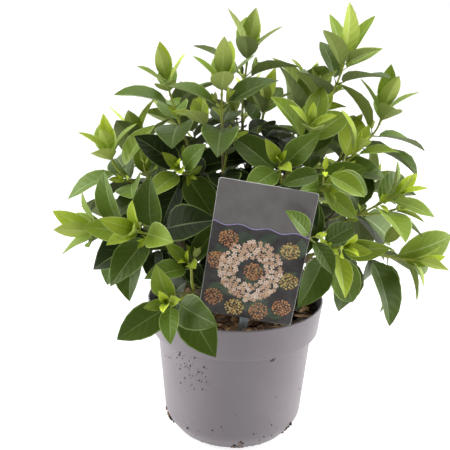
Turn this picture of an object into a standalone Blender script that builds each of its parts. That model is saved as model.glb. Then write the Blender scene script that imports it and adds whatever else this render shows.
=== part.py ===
"""Laurustinus (an evergreen flowering shrub) in a grey nursery pot, with its picture label.

Run with: blender --background --python part.py
Metres, +Z up. The origin is the centre of the pot's underside, and the front faces -Y.
The shrub is one short main stem, fourteen boughs and twenty-nine leafy shoots. Each shoot is
one closed solid: a stem, its side twigs and its opposite leaves, grown by a seeded rule.
"""

import math
import random

import bmesh
import bpy
import numpy as np
from mathutils import Matrix
from mathutils.bvhtree import BVHTree

MM = 0.001
CM = 0.01
GAP = 0.3 * MM

# Pot: outer radii and heights of its turned wall
POT_HEIGHT = 112 * MM
RIM_RADIUS = 70 * MM
COLLAR_FOOT_Z = 86 * MM
COLLAR_FOOT_RADIUS = 67.4 * MM
BODY_TOP_RADIUS = 62.4 * MM
BODY_FOOT_Z = 12.5 * MM
BODY_FOOT_RADIUS = 55.7 * MM
FOOT_RADIUS = 45.5 * MM
POT_WALL = 1.4 * MM
RIM_BEAD = 0.9 * MM
POT_FLOOR = 2.0 * MM
POT_STEPS = 40
DRAIN_HOLES = 6
DRAIN_HOLE_RADIUS = 4.5 * MM
DRAIN_RING_RADIUS = 34 * MM

# Soil: fills the pot to a little under the rim
SOIL_TOP = 101 * MM
SOIL_STEPS = 40
SOIL_DISHING = 1.5 * MM

# Picture label: a card on a flat stake, leaning out over the front of the rim
CARD_WIDTH = 68 * MM
CARD_HEIGHT = 108 * MM
CARD_THICKNESS = 0.8 * MM
CARD_CORNER = 3 * MM
CARD_FOOT = np.array((6.0, -62.0, 119.0)) * MM
CARD_LEAN = math.radians(10.3)
CARD_ROLL = math.radians(7.9)
CARD_YAW = math.radians(-4.5)
STAKE_WIDTH = 9 * MM
STAKE_POINT_WIDTH = 3 * MM
STAKE_LENGTH = 52 * MM
STAKE_OVERLAP = 14 * MM
STAKE_THICKNESS = 1.0 * MM

# Main stem: foot, top and radii, with its flare at the soil
STEM_FOOT = np.array((0.2, 0.4, 10.13)) * CM
STEM_TOP = np.array((0.7, 0.9, 18.2)) * CM
STEM_FLARE_RADIUS = 8.5 * MM
STEM_FOOT_RADIUS = 5.2 * MM
STEM_TOP_RADIUS = 3.2 * MM
STEM_FLARE_HEIGHT = 9 * MM
STEM_POINTS = 10
STEM_ROUNDNESS = 3

# Boughs: radii at root and tip
BOUGH_ROOT_RADIUS = 2.5 * MM
BOUGH_TIP_RADIUS = 1.9 * MM
BOUGH_POINTS = 8
BOUGH_ROUNDNESS = 1

# Each bough: the height where it leaves the main stem, and its tip, in centimetres
BOUGHS = {
    "front_left": (11.6, (-3.2, -4.8, 13.4)),
    "left": (12.8, (-5.0, -1.4, 16.6)),
    "left_upper": (14.2, (-5.8, 0.4, 18.8)),
    "right_front": (12.2, (5.4, -4.4, 16.2)),
    "right": (13.4, (6.0, -0.8, 16.8)),
    "back_left": (12.4, (-3.2, 3.8, 16.4)),
    "back_right": (13.8, (3.6, 4.0, 16.8)),
    "centre_front": (15.0, (-1.3, -2.0, 20.4)),
    "upper_left": (15.6, (-3.4, 0.4, 20.8)),
    "centre_right": (16.0, (3.2, -1.8, 20.6)),
    "right_upper": (16.6, (5.6, 0.2, 20.6)),
    "back_high": (16.8, (-0.8, 4.0, 21.0)),
    "upper_right": (17.4, (3.8, 1.8, 22.6)),
    "top": (18.2, (0.7, 1.4, 22.6)),
}

# Each leafy shoot: its bough, its growing tip in centimetres, the way that the tip points, the
# turn of its last leaf pair in degrees from flat across the front view, how many degrees its
# old leaves hang, and the least share of full length that its young leaves have reached
SHOOTS = {
    "low_rosette": ("front_left", (-4.8, -9.2, 14.2), (-0.15, -0.85, 0.5), 80, 0, 0.3),
    "low_inner": ("front_left", (-3.6, -6.0, 16.0), (-0.4, -0.7, 0.3), 20, 10, 0.3),
    "left_mid": ("left", (-7.1, -6.5, 18.5), (-0.45, -0.6, 0.55), -60, 0, 0.6),
    "far_left": ("left", (-10.4, -3.5, 17.4), (-0.9, -0.35, 0.2), 90, 0, 0.75),
    "left_low_rear": ("left", (-9.6, 3.2, 16.8), (-0.8, 0.5, 0.3), 50, 10, 0.3),
    "left_high": ("left_upper", (-9.6, -1.5, 23.0), (0.05, -0.2, 1.0), 90, 0, 0.7),
    "left_high_rear": ("left_upper", (-8.1, 3.0, 22.9), (-0.1, 0.1, 1.0), 0, 0, 0.7),
    "upper_left": ("upper_left", (-5.5, 0.0, 28.0), (-0.2, -0.1, 1.0), 90, 0, 0.5),
    "left_inner": ("upper_left", (-4.4, -3.6, 22.4), (-0.3, -0.6, 0.6), 20, 10, 0.3),
    "crown_front": ("centre_front", (-1.4, -2.5, 28.5), (0.05, -0.1, 1.0), 90, 0, 0.7),
    "over_label": ("centre_right", (2.8, -5.0, 23.2), (0.0, -0.7, 0.6), 40, 10, 0.3),
    "crown_top": ("top", (0.5, 2.0, 30.3), (0.1, 0.0, 1.0), 90, 0, 0.75),
    "crown_right": ("top", (1.9, 1.6, 26.2), (0.1, -0.1, 1.0), 60, 0, 0.7),
    "top_right": ("upper_right", (7.6, 0.5, 29.9), (0.1, -0.05, 1.0), 40, 0, 0.95),
    "top_right_rear": ("upper_right", (5.4, 4.6, 27.6), (-0.1, 0.3, 1.0), 10, 0, 0.5),
    "front_right": ("centre_right", (5.0, -3.5, 25.8), (-0.05, -0.35, 0.9), 90, 0, 0.35),
    "right_inner": ("centre_right", (6.2, -4.8, 21.4), (0.3, -0.7, 0.4), 30, 20, 0.3),
    "right_high": ("right_upper", (10.9, 1.5, 26.0), (-0.1, -0.1, 1.0), 90, 0, 0.75),
    "right_mid": ("right_upper", (8.7, -2.5, 24.1), (0.35, -0.15, 1.0), 0, 0, 0.3),
    "right_low": ("right", (11.5, -3.5, 20.8), (0.6, -0.4, 0.6), 0, 0, 0.5),
    "right_rear": ("right", (11.2, 4.4, 20.0), (0.7, 0.5, 0.5), 10, 10, 0.4),
    "far_right": ("right_front", (13.3, -4.0, 15.9), (0.9, -0.3, 0.1), 90, 50, 0.5),
    "low_right": ("right_front", (7.2, -7.6, 18.0), (0.3, -0.8, 0.4), -50, 70, 0.5),
    "rear_left_low": ("back_left", (-7.0, 7.2, 17.4), (-0.6, 0.7, 0.3), 20, 20, 0.4),
    "rear_low": ("back_left", (-0.6, 9.8, 16.6), (0.1, 0.9, 0.3), 40, 20, 0.4),
    "rear_right_low": ("back_right", (7.4, 7.8, 17.0), (0.7, 0.7, 0.3), 10, 20, 0.5),
    "rear_right": ("back_right", (6.8, 7.4, 22.4), (0.3, 0.5, 0.8), 35, 0, 0.7),
    "rear_left": ("back_high", (-4.8, 6.6, 24.0), (-0.3, 0.4, 0.9), 50, 0, 0.7),
    "rear_high": ("back_high", (0.6, 7.2, 26.0), (0.0, 0.3, 1.0), 20, 0, 0.6),
}

# The growth rule. Pair 0 is the growing tip's pair, and each next one is further down the stem
SHOOT_ROOT_RADIUS = 1.3 * MM
SHOOT_TIP_RADIUS = 0.9 * MM
SHOOT_POINTS = 8
FORK_SPREAD = 1.7 * MM
PAIR_PLACES = (1.5, 4, 9, 20, 34, 50, 68, 88, 108)
LEAF_SHARES = (0.3, 0.5, 0.82, 1.02, 1.1, 1.12, 1.06, 0.98, 0.9)
LEAF_ANGLES = (15, 32, 45, 54, 64, 72, 78, 80, 80)
LEAF_SAGS = (0, 0, 1, 3, 6, 10, 14, 18, 20)
LEAF_BENDS = (8, 14, 20, 26, 30, 34, 36, 36, 36)
LEAF_TWISTS = (0.2, 0.35, 0.8, 1.8, 3.0, 4.0, 4.5, 5.0, 5.5)
LEAF_LENGTH = 48 * MM
LEAF_ASPECT = 0.56
LEAF_FOLD = math.radians(22)
LEAF_THICKNESS = 0.018
PETIOLE_SHARE = 0.14
LEAF_SUNK = 0.25 * MM
BARE_FOOT = 9 * MM
TWIG_FIRST_PAIR = 4
TWIG_CHANCE = 0.35
TWIG_LENGTH = 26 * MM
TWIG_PAIR_PLACES = (1.5, 5, 13)
TWIG_LEAF_SHARES = (0.3, 0.5, 0.74)
SKYWARD = np.array((0.0, 0.0, 0.6))
OUTWARD = np.array((0.2, 1.3, 0.5))
CROWN_MIDDLE = np.array((0.5, 1.5, 15.0)) * CM
LOWEST_LEAF_Z = 60 * MM
RETRIES = ((0, 0), (20, 0), (-20, 0), (0, -14), (0, 14), (40, 0), (-40, 0), (30, -18), (-30, -18))

COLOURS = {
    "pot_grey": ((0.30, 0.28, 0.31), 0.55),
    "soil_brown": ((0.09, 0.05, 0.03), 0.95),
    "card_print": ((0.22, 0.20, 0.21), 0.35),
    "clear_plastic": ((0.55, 0.56, 0.56), 0.25),
    "bark_brown": ((0.16, 0.11, 0.06), 0.8),
    "shoot_green": ((0.10, 0.20, 0.04), 0.45),
}


def material(name):
    """A Principled material with the part's colour and roughness, made once."""
    made = bpy.data.materials.get(name)
    if made is None:
        colour, roughness = COLOURS[name]
        made = bpy.data.materials.new(name)
        made.use_nodes = True
        shader = made.node_tree.nodes["Principled BSDF"]
        shader.inputs["Base Color"].default_value = (*colour, 1)
        shader.inputs["Roughness"].default_value = roughness
        shader.inputs["Metallic"].default_value = 0
    return made


def collection(name):
    made = bpy.data.collections.new(name)
    bpy.context.scene.collection.children.link(made)
    return made


def add_object(name, data, group, finish):
    made = bpy.data.objects.new(name, data)
    data.materials.append(material(finish))
    group.objects.link(made)
    return made


def unit(vector):
    return np.asarray(vector, float) / np.linalg.norm(vector)


def turned(vector, axis, angle):
    """The vector turned about a unit axis, by Rodrigues' formula."""
    cosine, sine = math.cos(angle), math.sin(angle)
    return vector * cosine + np.cross(axis, vector) * sine + axis * np.dot(axis, vector) * (1 - cosine)


def smooth_path(start, start_way, end, end_way, count):
    """Points on the cubic that leaves start along start_way and arrives at end along end_way."""
    reach = np.linalg.norm(end - start)
    t = np.linspace(0, 1, count)[:, None]
    return (
        (2 * t**3 - 3 * t**2 + 1) * start
        + (t**3 - 2 * t**2 + t) * reach * unit(start_way)
        + (3 * t**2 - 2 * t**3) * end
        + (t**3 - t**2) * reach * unit(end_way)
    )


def path_ways(path):
    ways = np.gradient(path, axis=0)
    return ways / np.linalg.norm(ways, axis=1)[:, None]


def carried_sides(path, first_side):
    """A side vector at each point of a path, carried along without twist from the first."""
    sides = []
    side = first_side
    for way in path_ways(path):
        side = unit(side - way * np.dot(side, way))
        sides.append(side)
    return np.array(sides)


def lofted(sections):
    """Vertices and triangles of the closed skin through sections of equal counts, or single points."""
    vertices = [tuple(point) for section in sections for point in section]
    starts = np.cumsum([0] + [len(section) for section in sections])
    rings = [range(starts[i], starts[i + 1]) for i in range(len(sections))]
    faces = []
    for near, far in zip(rings, rings[1:]):
        count = max(len(near), len(far))
        for i in range(count):
            j = (i + 1) % count
            a, b = near[i % len(near)], near[j % len(near)]
            c, d = far[j % len(far)], far[i % len(far)]
            faces += [face for face in ((a, b, c), (a, c, d)) if len(set(face)) == 3]
    for ring, step in ((rings[0], -1), (rings[-1], 1)):
        if len(ring) > 2:
            turned_ring = list(ring)[::step]
            faces += [(turned_ring[0], *turned_ring[i : i + 2]) for i in range(1, len(ring) - 1)]
    return vertices, faces


def solid_mesh(name, sections):
    vertices, faces = lofted(sections)
    mesh = bpy.data.meshes.new(name)
    mesh.from_pydata(vertices, [], faces)
    return mesh


def touch_tree(sections):
    return BVHTree.FromPolygons(*lofted(sections))


def twig_sections(path, root_radius, tip_radius):
    """Three-sided rings along a path, tapering from root to tip."""
    ways = path_ways(path)
    sides = carried_sides(path, unit(np.cross(ways[0], (0.31, 0.22, 0.93))))
    ups = np.cross(ways, sides)
    radii = np.linspace(root_radius, tip_radius, len(path))[:, None]
    turns = (0, math.tau / 3, 2 * math.tau / 3)
    rings = [path + radii * (math.cos(turn) * sides + math.sin(turn) * ups) for turn in turns]
    return np.stack(rings, axis=1)


def blade_line(leaf, u):
    """The point, way and normal at share u of a leaf's length. The blade bends down evenly."""
    bend = leaf["bend"]
    blade_u = max(u - PETIOLE_SHARE, 0) / (1 - PETIOLE_SHARE)
    straight = min(u, PETIOLE_SHARE) * leaf["length"]
    arc = (1 - PETIOLE_SHARE) * leaf["length"]
    angle = bend * blade_u
    forward = straight + arc * math.sin(angle) / bend
    down = arc * (1 - math.cos(angle)) / bend
    point = leaf["root"] + leaf["way"] * forward - leaf["normal"] * down
    way = leaf["way"] * math.cos(angle) - leaf["normal"] * math.sin(angle)
    normal = leaf["normal"] * math.cos(angle) + leaf["way"] * math.sin(angle)
    return point, way, normal


def half_width(leaf, u):
    """The leaf's outline: egg-shaped, widest a little below the middle of the blade."""
    blade_u = np.clip((u - PETIOLE_SHARE) / (1 - PETIOLE_SHARE), 0, 1)
    shape = 2.9 * blade_u**0.72 * (1 - blade_u) ** 0.82
    return shape * leaf["length"] * LEAF_ASPECT / 2


def leaf_sections(leaf, grow=0.0, start=0.0):
    """A blade folded along its rib: from the root point through rings of margin, upper rib,
    margin and lower rib, to the tip. A young leaf has one ring and a grown one has two."""
    across = np.cross(leaf["way"], leaf["normal"])
    thick = leaf["length"] * LEAF_THICKNESS / 2 + grow
    sections = [[blade_line(leaf, start)[0]]]
    for u in (0.5,) if leaf["length"] < 0.6 * LEAF_LENGTH else (0.4, 0.75):
        point, _, normal = blade_line(leaf, u)
        half = half_width(leaf, u) + grow
        margin = across * half * math.cos(LEAF_FOLD)
        raised = point + normal * half * math.sin(LEAF_FOLD)
        sections.append([raised - margin, point + normal * thick, raised + margin, point - normal * thick])
    tip, way, _ = blade_line(leaf, 1.0)
    sections.append([tip + way * grow])
    return sections


def leaf_at(stem, pair, share, droop, draw):
    """One leaf of a pair: it leaves the stem at its pair's angle, sags, and twists to the light."""
    point, way, side = stem
    angle = math.radians(LEAF_ANGLES[pair] + draw["angle"])
    leaf_way = unit(math.cos(angle) * way + math.sin(angle) * side)
    normal = unit(math.sin(angle) * way - math.cos(angle) * side)
    sag = math.radians(LEAF_SAGS[pair] + draw["sag"] + droop * min(pair, 4) / 4)
    sag = min(sag, 0.85 * math.acos(np.clip(-leaf_way[2], -1, 1)))
    level = np.cross(leaf_way, (0, 0, -1))
    if np.linalg.norm(level) > 0.2:
        level = unit(level)
        leaf_way, normal = turned(leaf_way, level, sag), turned(normal, level, sag)
    light = unit(SKYWARD + unit((point - CROWN_MIDDLE) * OUTWARD))
    normal = normal + LEAF_TWISTS[pair] * light
    normal = unit(normal - leaf_way * np.dot(normal, leaf_way))
    return {
        "root": point - side * LEAF_SUNK,
        "way": leaf_way,
        "normal": normal,
        "length": LEAF_LENGTH * share * draw["size"],
        "bend": math.radians(LEAF_BENDS[pair] + draw["bend"]),
        "pair": pair,
    }


def draws(chance):
    """The small chance differences of one leaf, always drawn in the same order."""
    return {
        "angle": chance.uniform(-9, 9),
        "sag": chance.uniform(-8, 8),
        "size": chance.uniform(0.88, 1.1),
        "bend": chance.uniform(-6, 12),
        "turn": chance.uniform(-10, 10),
    }


def point_on(path, sides, from_tip):
    """The point, way and side at a length back from a path's tip."""
    steps = np.linalg.norm(np.diff(path, axis=0), axis=1)
    lengths = np.concatenate(([0.0], np.cumsum(steps)))
    at = lengths[-1] - from_tip
    rows = (path, path_ways(path), sides)
    point, way, side = (np.array([np.interp(at, lengths, row[:, k]) for k in range(3)]) for row in rows)
    return point, unit(way), unit(side)


def pair_leaves(stem, pair, turn, share, droop, chance):
    """The two opposite leaves of a pair, each with the turned and lifted choices it may take."""
    point, way, side = stem
    leaves = []
    for half_turn in (0, 180):
        draw = draws(chance)
        choices = []
        for more_turn, more_angle in RETRIES:
            degrees = turn + half_turn + draw["turn"] + more_turn
            leaf_side = turned(side, way, math.radians(degrees))
            varied = dict(draw, angle=draw["angle"] + more_angle)
            choices.append(leaf_at((point, way, leaf_side), pair, share, droop, varied))
        leaves.append(choices)
    return leaves


def shoot_plan(name, path):
    """The side twigs and leaf choices of one shoot, drawn from its own seed."""
    chance = random.Random("laurustinus " + name)
    _, _, _, turn, droop, flush = SHOOTS[name]
    across_view = np.cross(path_ways(path)[-1], (0, 1, 0)) + np.array((0.02, 0, 0))
    sides = carried_sides(path[::-1], unit(across_view))[::-1]
    length = np.linalg.norm(np.diff(path, axis=0), axis=1).sum()
    vigour = chance.uniform(0.94, 1.08)
    twigs, leaves = [], []
    for pair, place in enumerate(PAIR_PLACES):
        from_tip = place * MM * vigour
        has_twig, twig_half = chance.random() < TWIG_CHANCE, chance.choice((0, 180))
        twig_length = TWIG_LENGTH * chance.uniform(0.75, 1.3)
        if length - from_tip < BARE_FOOT:
            break
        stem = point_on(path, sides, from_tip)
        pair_turn = turn + 90 * pair
        share = max(LEAF_SHARES[pair], flush) * vigour
        leaves += pair_leaves(stem, pair, pair_turn, share, droop, chance)
        if pair >= TWIG_FIRST_PAIR and has_twig:
            point, way, side = stem
            out = turned(side, way, math.radians(pair_turn + twig_half + 12))
            twig_way = unit(way + 0.75 * out)
            end = point + twig_length * unit(twig_way + (0, 0, 0.25))
            twig = smooth_path(point, twig_way, end, unit(twig_way + (0, 0, 0.7)), 4)
            twigs.append(twig)
            twig_sides = carried_sides(twig, unit(np.cross(path_ways(twig)[0], (0, 1, 0.1))))
            for twig_pair, twig_place in enumerate(TWIG_PAIR_PLACES):
                foot = point_on(twig, twig_sides, twig_place * MM)
                twig_turn, twig_share = turn + 90 * twig_pair, TWIG_LEAF_SHARES[twig_pair]
                leaves += pair_leaves(foot, twig_pair, twig_turn, twig_share, droop, chance)
    return twigs, leaves


def settled(choices, others, own):
    """The first choice that touches nothing and keeps off the ground, with its trees, or None."""
    for leaf in choices:
        middle, tip = blade_line(leaf, 0.5)[0], blade_line(leaf, 1.0)[0]
        if tip[2] < LOWEST_LEAF_Z:
            continue
        whole = touch_tree(leaf_sections(leaf, GAP, 0.05))
        blade = touch_tree(leaf_sections(leaf, GAP, 0.2))
        if any(whole.overlap(other) for other in others):
            continue
        if any(blade.overlap(other) for other in own):
            continue
        return {"leaf": leaf, "middle": middle, "whole": whole, "blade": blade}
    return None


def stem_radius_at(z):
    share = np.clip((z - STEM_FOOT[2]) / (STEM_TOP[2] - STEM_FOOT[2]), 0, 1)
    return STEM_FOOT_RADIUS + (STEM_TOP_RADIUS - STEM_FOOT_RADIUS) * share


def main_stem_path():
    lean = unit(STEM_TOP - STEM_FOOT)
    return smooth_path(STEM_FOOT, (0, 0, 1), STEM_TOP, lean, STEM_POINTS)


def limb(name, path, radii, roundness, group):
    """A tapering limb: a poly curve with a round bevel and filled caps."""
    curve = bpy.data.curves.new(name, "CURVE")
    curve.dimensions = "3D"
    curve.bevel_depth = 1.0
    curve.bevel_resolution = roundness
    curve.use_fill_caps = True
    spline = curve.splines.new("POLY")
    spline.points.add(len(path) - 1)
    for point, place, radius in zip(spline.points, path, radii):
        point.co = (*place, 1)
        point.radius = radius
    return add_object(name, curve, group, "bark_brown")


def evaluated_mesh(source):
    bpy.context.view_layer.update()
    graph = bpy.context.evaluated_depsgraph_get()
    return bpy.data.meshes.new_from_object(source.evaluated_get(graph))


def welded_mesh(source):
    """The evaluated mesh of an object in place, with its loose caps welded."""
    mesh = evaluated_mesh(source)
    mesh.transform(source.matrix_world)
    shape = bmesh.new()
    shape.from_mesh(mesh)
    bmesh.ops.remove_doubles(shape, verts=shape.verts[:], dist=0.01 * MM)
    shape.to_mesh(mesh)
    shape.free()
    return mesh


def limb_tree(source):
    mesh = welded_mesh(source)
    tree = BVHTree.FromPolygons([v.co[:] for v in mesh.vertices], [f.vertices[:] for f in mesh.polygons])
    bpy.data.meshes.remove(mesh)
    return tree


def build_main_stem(group):
    """The short woody stem, flared where it meets the soil, with a flat cut there."""
    path = main_stem_path()
    above = path[:, 2] - STEM_FOOT[2]
    flare = np.clip(1 - above / STEM_FLARE_HEIGHT, 0, 1) ** 2
    radii = [stem_radius_at(z) for z in path[:, 2]] + (STEM_FLARE_RADIUS - STEM_FOOT_RADIUS) * flare
    return limb("main_stem", path, radii, STEM_ROUNDNESS, group)


def bough_path(name):
    """A bough leaves the main stem's surface and ends at its tip, rising a little at first."""
    leave_z, tip = BOUGHS[name]
    tip = np.array(tip) * CM
    stem = main_stem_path()
    axis = np.array([np.interp(leave_z * CM, stem[:, 2], stem[:, k]) for k in range(3)])
    if axis[2] >= STEM_TOP[2] - MM:
        root_way = unit(tip - STEM_TOP)
        return smooth_path(STEM_TOP + root_way * 3 * GAP, root_way, tip, unit(tip - STEM_TOP), BOUGH_POINTS)
    level = unit((tip - axis) * (1, 1, 0))
    rise = unit(tip - axis)[2]
    root_way = unit(level + np.array((0, 0, 0.35 + 0.5 * rise)))
    clear = stem_radius_at(axis[2]) + GAP + BOUGH_ROOT_RADIUS * root_way[2]
    end_way = unit(unit(tip - axis) + (0, 0, 0.35))
    return smooth_path(axis + level * clear, root_way, tip, end_way, BOUGH_POINTS)


def fork_roots(tip, way, aims):
    """Where the shoots on one bough's tip start: spread evenly round it, each on the side it heads for."""
    side = unit(np.cross(way, (0.2, 1.0, 0.1)))
    up = np.cross(way, side)
    turns = [math.atan2(np.dot(aim - tip, up), np.dot(aim - tip, side)) for aim in aims]
    order = sorted(range(len(aims)), key=turns.__getitem__)
    step = math.tau / len(aims)
    middle = sum(turns[i] - step * rank for rank, i in enumerate(order)) / len(aims)
    roots = {}
    for rank, i in enumerate(order):
        turn = middle + step * rank
        out = math.cos(turn) * side + math.sin(turn) * up
        root_way = unit(way + 0.45 * out + 0.4 * unit(aims[i] - tip))
        lean = math.sqrt(max(0, 1 - np.dot(root_way, way) ** 2))
        roots[i] = (tip + way * (GAP + SHOOT_ROOT_RADIUS * lean) + out * FORK_SPREAD, root_way)
    return roots


def shoot_paths():
    """Each shoot's stem, from its bough's tip to its growing tip."""
    paths = {}
    for bough in BOUGHS:
        names = [name for name, row in SHOOTS.items() if row[0] == bough]
        path = bough_path(bough)
        tip, way = path[-1], path_ways(path)[-1]
        aims = [np.array(SHOOTS[name][1]) * CM for name in names]
        roots = fork_roots(tip, way, aims)
        for i, name in enumerate(names):
            root, root_way = roots[i]
            paths[name] = smooth_path(root, root_way, aims[i], unit(SHOOTS[name][2]), SHOOT_POINTS)
    return paths


def settle_leaves(limb_trees):
    """Goes down all the shoots together from their tips, and keeps the leaves that find free space."""
    paths = shoot_paths()
    plans = {name: shoot_plan(name, path) for name, path in paths.items()}
    stems = {}
    for name, path in paths.items():
        lines = [(path, SHOOT_ROOT_RADIUS + GAP, SHOOT_TIP_RADIUS + GAP)]
        lines += [(twig, SHOOT_TIP_RADIUS + GAP, SHOOT_TIP_RADIUS + GAP) for twig in plans[name][0]]
        stems[name] = [touch_tree(twig_sections(*line)) for line in lines]
    kept = {name: [] for name in paths}
    for rank in range(max(len(leaves) for _, leaves in plans.values())):
        for name, (_, leaves) in plans.items():
            if rank >= len(leaves):
                continue
            middle = blade_line(leaves[rank][0], 0.5)[0]
            others, own = list(limb_trees), list(stems[name])
            for other, rows in kept.items():
                near = [row for row in rows if np.linalg.norm(row["middle"] - middle) < 1.5 * LEAF_LENGTH]
                if other == name:
                    own += [row["blade"] for row in near]
                else:
                    others += stems[other] + [row["whole"] for row in near]
            found = settled(leaves[rank], others, own)
            if found:
                kept[name].append(found)
    leaves = {name: [row["leaf"] for row in rows] for name, rows in kept.items()}
    return paths, {name: plan[0] for name, plan in plans.items()}, leaves


def build_shoot(name, path, twigs, leaves, group):
    """One leafy shoot: its stem, side twigs and leaves joined by one union."""
    loose = collection("loose pieces of " + name)
    pieces = [twig_sections(twig, SHOOT_TIP_RADIUS, 0.8 * SHOOT_TIP_RADIUS) for twig in twigs]
    pieces += [leaf_sections(leaf) for leaf in leaves]
    for sections in pieces:
        add_object("piece", solid_mesh("piece", sections), loose, "shoot_green")
    stem = solid_mesh("stem", twig_sections(path, SHOOT_ROOT_RADIUS, SHOOT_TIP_RADIUS))
    shoot = add_object("shoot_" + name, stem, group, "shoot_green")
    union = shoot.modifiers.new("union", "BOOLEAN")
    union.operand_type = "COLLECTION"
    union.collection = loose
    union.operation = "UNION"
    union.solver = "MANIFOLD"
    joined = evaluated_mesh(shoot)
    shoot.modifiers.clear()
    shoot.data = joined
    for piece in list(loose.objects):
        bpy.data.objects.remove(piece)
    bpy.data.collections.remove(loose)


def turned_object(name, profile, steps, group, finish):
    """A profile of (radius, height) points from axis to axis, turned about Z by a Screw modifier."""
    mesh = bpy.data.meshes.new(name)
    points = [(radius, 0, height) for radius, height in profile]
    edges = [(i, i + 1) for i in range(len(points) - 1)]
    mesh.from_pydata(points, edges, [])
    made = add_object(name, mesh, group, finish)
    screw = made.modifiers.new("turn", "SCREW")
    screw.steps = screw.render_steps = steps
    screw.use_merge_vertices = True
    screw.merge_threshold = 0.01 * MM
    screw.use_normal_calculate = True
    return made


def pot_profile():
    """From the inner floor's centre up the inside, over the rim bead and down the outside."""
    step_in = COLLAR_FOOT_Z + POT_WALL
    inner = [
        (0, POT_FLOOR),
        (FOOT_RADIUS - POT_WALL, POT_FLOOR),
        (BODY_FOOT_RADIUS - POT_WALL, BODY_FOOT_Z),
        (BODY_TOP_RADIUS - POT_WALL, step_in),
        (COLLAR_FOOT_RADIUS - POT_WALL, step_in + MM),
        (RIM_RADIUS - POT_WALL, POT_HEIGHT - RIM_BEAD),
    ]
    rim = [
        (RIM_RADIUS - POT_WALL / 2, POT_HEIGHT),
        (RIM_RADIUS + RIM_BEAD / 2, POT_HEIGHT - RIM_BEAD),
        (RIM_RADIUS, POT_HEIGHT - 3 * RIM_BEAD),
    ]
    outer = [
        (COLLAR_FOOT_RADIUS, COLLAR_FOOT_Z + MM),
        (COLLAR_FOOT_RADIUS - MM, COLLAR_FOOT_Z),
        (BODY_TOP_RADIUS, COLLAR_FOOT_Z - MM),
        (BODY_FOOT_RADIUS, BODY_FOOT_Z),
        (FOOT_RADIUS, 0),
        (0, 0),
    ]
    return inner + rim + outer


def cut_away(target, cutter, cutters):
    """Cuts one object out of another, and hides the cutter."""
    cutters.objects.link(cutter)
    cutter.hide_render = True
    cutter.display_type = "WIRE"
    cut = target.modifiers.new(cutter.name, "BOOLEAN")
    cut.object = cutter
    cut.operation = "DIFFERENCE"


def build_pot(group, cutters):
    """The thin-walled nursery pot, with a ring of drain holes through its floor."""
    pot = turned_object("pot", pot_profile(), POT_STEPS, group, "pot_grey")
    mesh = bpy.data.meshes.new("drain holes")
    shape = bmesh.new()
    for i in range(DRAIN_HOLES):
        turn = math.tau * (i + 0.5) / DRAIN_HOLES
        place = (DRAIN_RING_RADIUS * math.cos(turn), DRAIN_RING_RADIUS * math.sin(turn), 0)
        bmesh.ops.create_cone(
            shape,
            cap_ends=True,
            segments=6,
            radius1=DRAIN_HOLE_RADIUS,
            radius2=DRAIN_HOLE_RADIUS,
            depth=6 * POT_FLOOR,
            matrix=Matrix.Translation(place),
        )
    shape.to_mesh(mesh)
    shape.free()
    cut_away(pot, bpy.data.objects.new("drain holes", mesh), cutters)


def soil_profile():
    """The dished surface, then down a gap inside the pot's wall and across its floor."""
    clear = POT_WALL + 2 * GAP
    step_in = COLLAR_FOOT_Z + POT_WALL
    wall_top = np.interp(SOIL_TOP, (COLLAR_FOOT_Z, POT_HEIGHT), (COLLAR_FOOT_RADIUS, RIM_RADIUS)) - clear
    return [
        (0, SOIL_TOP),
        (2 * STEM_FLARE_RADIUS, SOIL_TOP),
        (0.62 * wall_top, SOIL_TOP - SOIL_DISHING),
        (wall_top - 2 * MM, SOIL_TOP - SOIL_DISHING / 2),
        (wall_top - MM, SOIL_TOP - SOIL_DISHING - MM),
        (COLLAR_FOOT_RADIUS - clear, step_in + MM + 2 * GAP),
        (BODY_TOP_RADIUS - clear, step_in + 2 * GAP),
        (BODY_FOOT_RADIUS - clear, BODY_FOOT_Z + GAP),
        (FOOT_RADIUS - clear, POT_FLOOR + 2 * GAP),
        (0, POT_FLOOR + 2 * GAP),
    ]


def label_matrix(behind):
    """The label's plane, a distance behind the card: right, up, front and its foot's middle."""
    turns = Matrix.Rotation(CARD_YAW, 4, "Z") @ Matrix.Rotation(CARD_LEAN, 4, "X")
    turns = turns @ Matrix.Rotation(CARD_ROLL, 4, "Y") @ Matrix.Rotation(math.pi / 2, 4, "X")
    return Matrix.Translation(CARD_FOOT) @ turns @ Matrix.Translation((0, 0, -behind))


def flat_plate(name, outline, thickness, behind, finish):
    """A flat outline in the label's plane, filled and extruded."""
    curve = bpy.data.curves.new(name, "CURVE")
    curve.dimensions = "2D"
    curve.fill_mode = "BOTH"
    curve.extrude = thickness / 2
    spline = curve.splines.new("POLY")
    spline.points.add(len(outline) - 1)
    for point, (x, y) in zip(spline.points, outline):
        point.co = (x, y, 0, 1)
    spline.use_cyclic_u = True
    curve.materials.append(material(finish))
    plate = bpy.data.objects.new(name, curve)
    plate.matrix_world = label_matrix(behind)
    return plate


def card_outline():
    """The card's outline, each corner turned through three points of a quarter circle."""
    outline = []
    middle_x, middle_y = CARD_WIDTH / 2 - CARD_CORNER, CARD_HEIGHT / 2 - CARD_CORNER
    for corner, (x, y) in enumerate(((1, -1), (1, 1), (-1, 1), (-1, -1))):
        for eighth in range(3):
            turn = math.pi / 2 * (corner - 1) + math.pi / 4 * eighth
            across = x * middle_x + CARD_CORNER * math.cos(turn)
            upward = y * middle_y + CARD_CORNER * math.sin(turn)
            outline.append((across, upward + CARD_HEIGHT / 2))
    return outline


def stake_outline(clear=0.0):
    """A flat blade behind the card that narrows to a point in the soil."""
    point_y = STAKE_OVERLAP - STAKE_LENGTH - clear
    shoulder = 0.35 * point_y
    half, point_half = STAKE_WIDTH / 2 + clear, STAKE_POINT_WIDTH / 2 + clear
    right_side = [(point_half, point_y), (half, shoulder), (half, STAKE_OVERLAP)]
    return right_side + [(-x, y) for x, y in right_side[::-1]]


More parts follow.
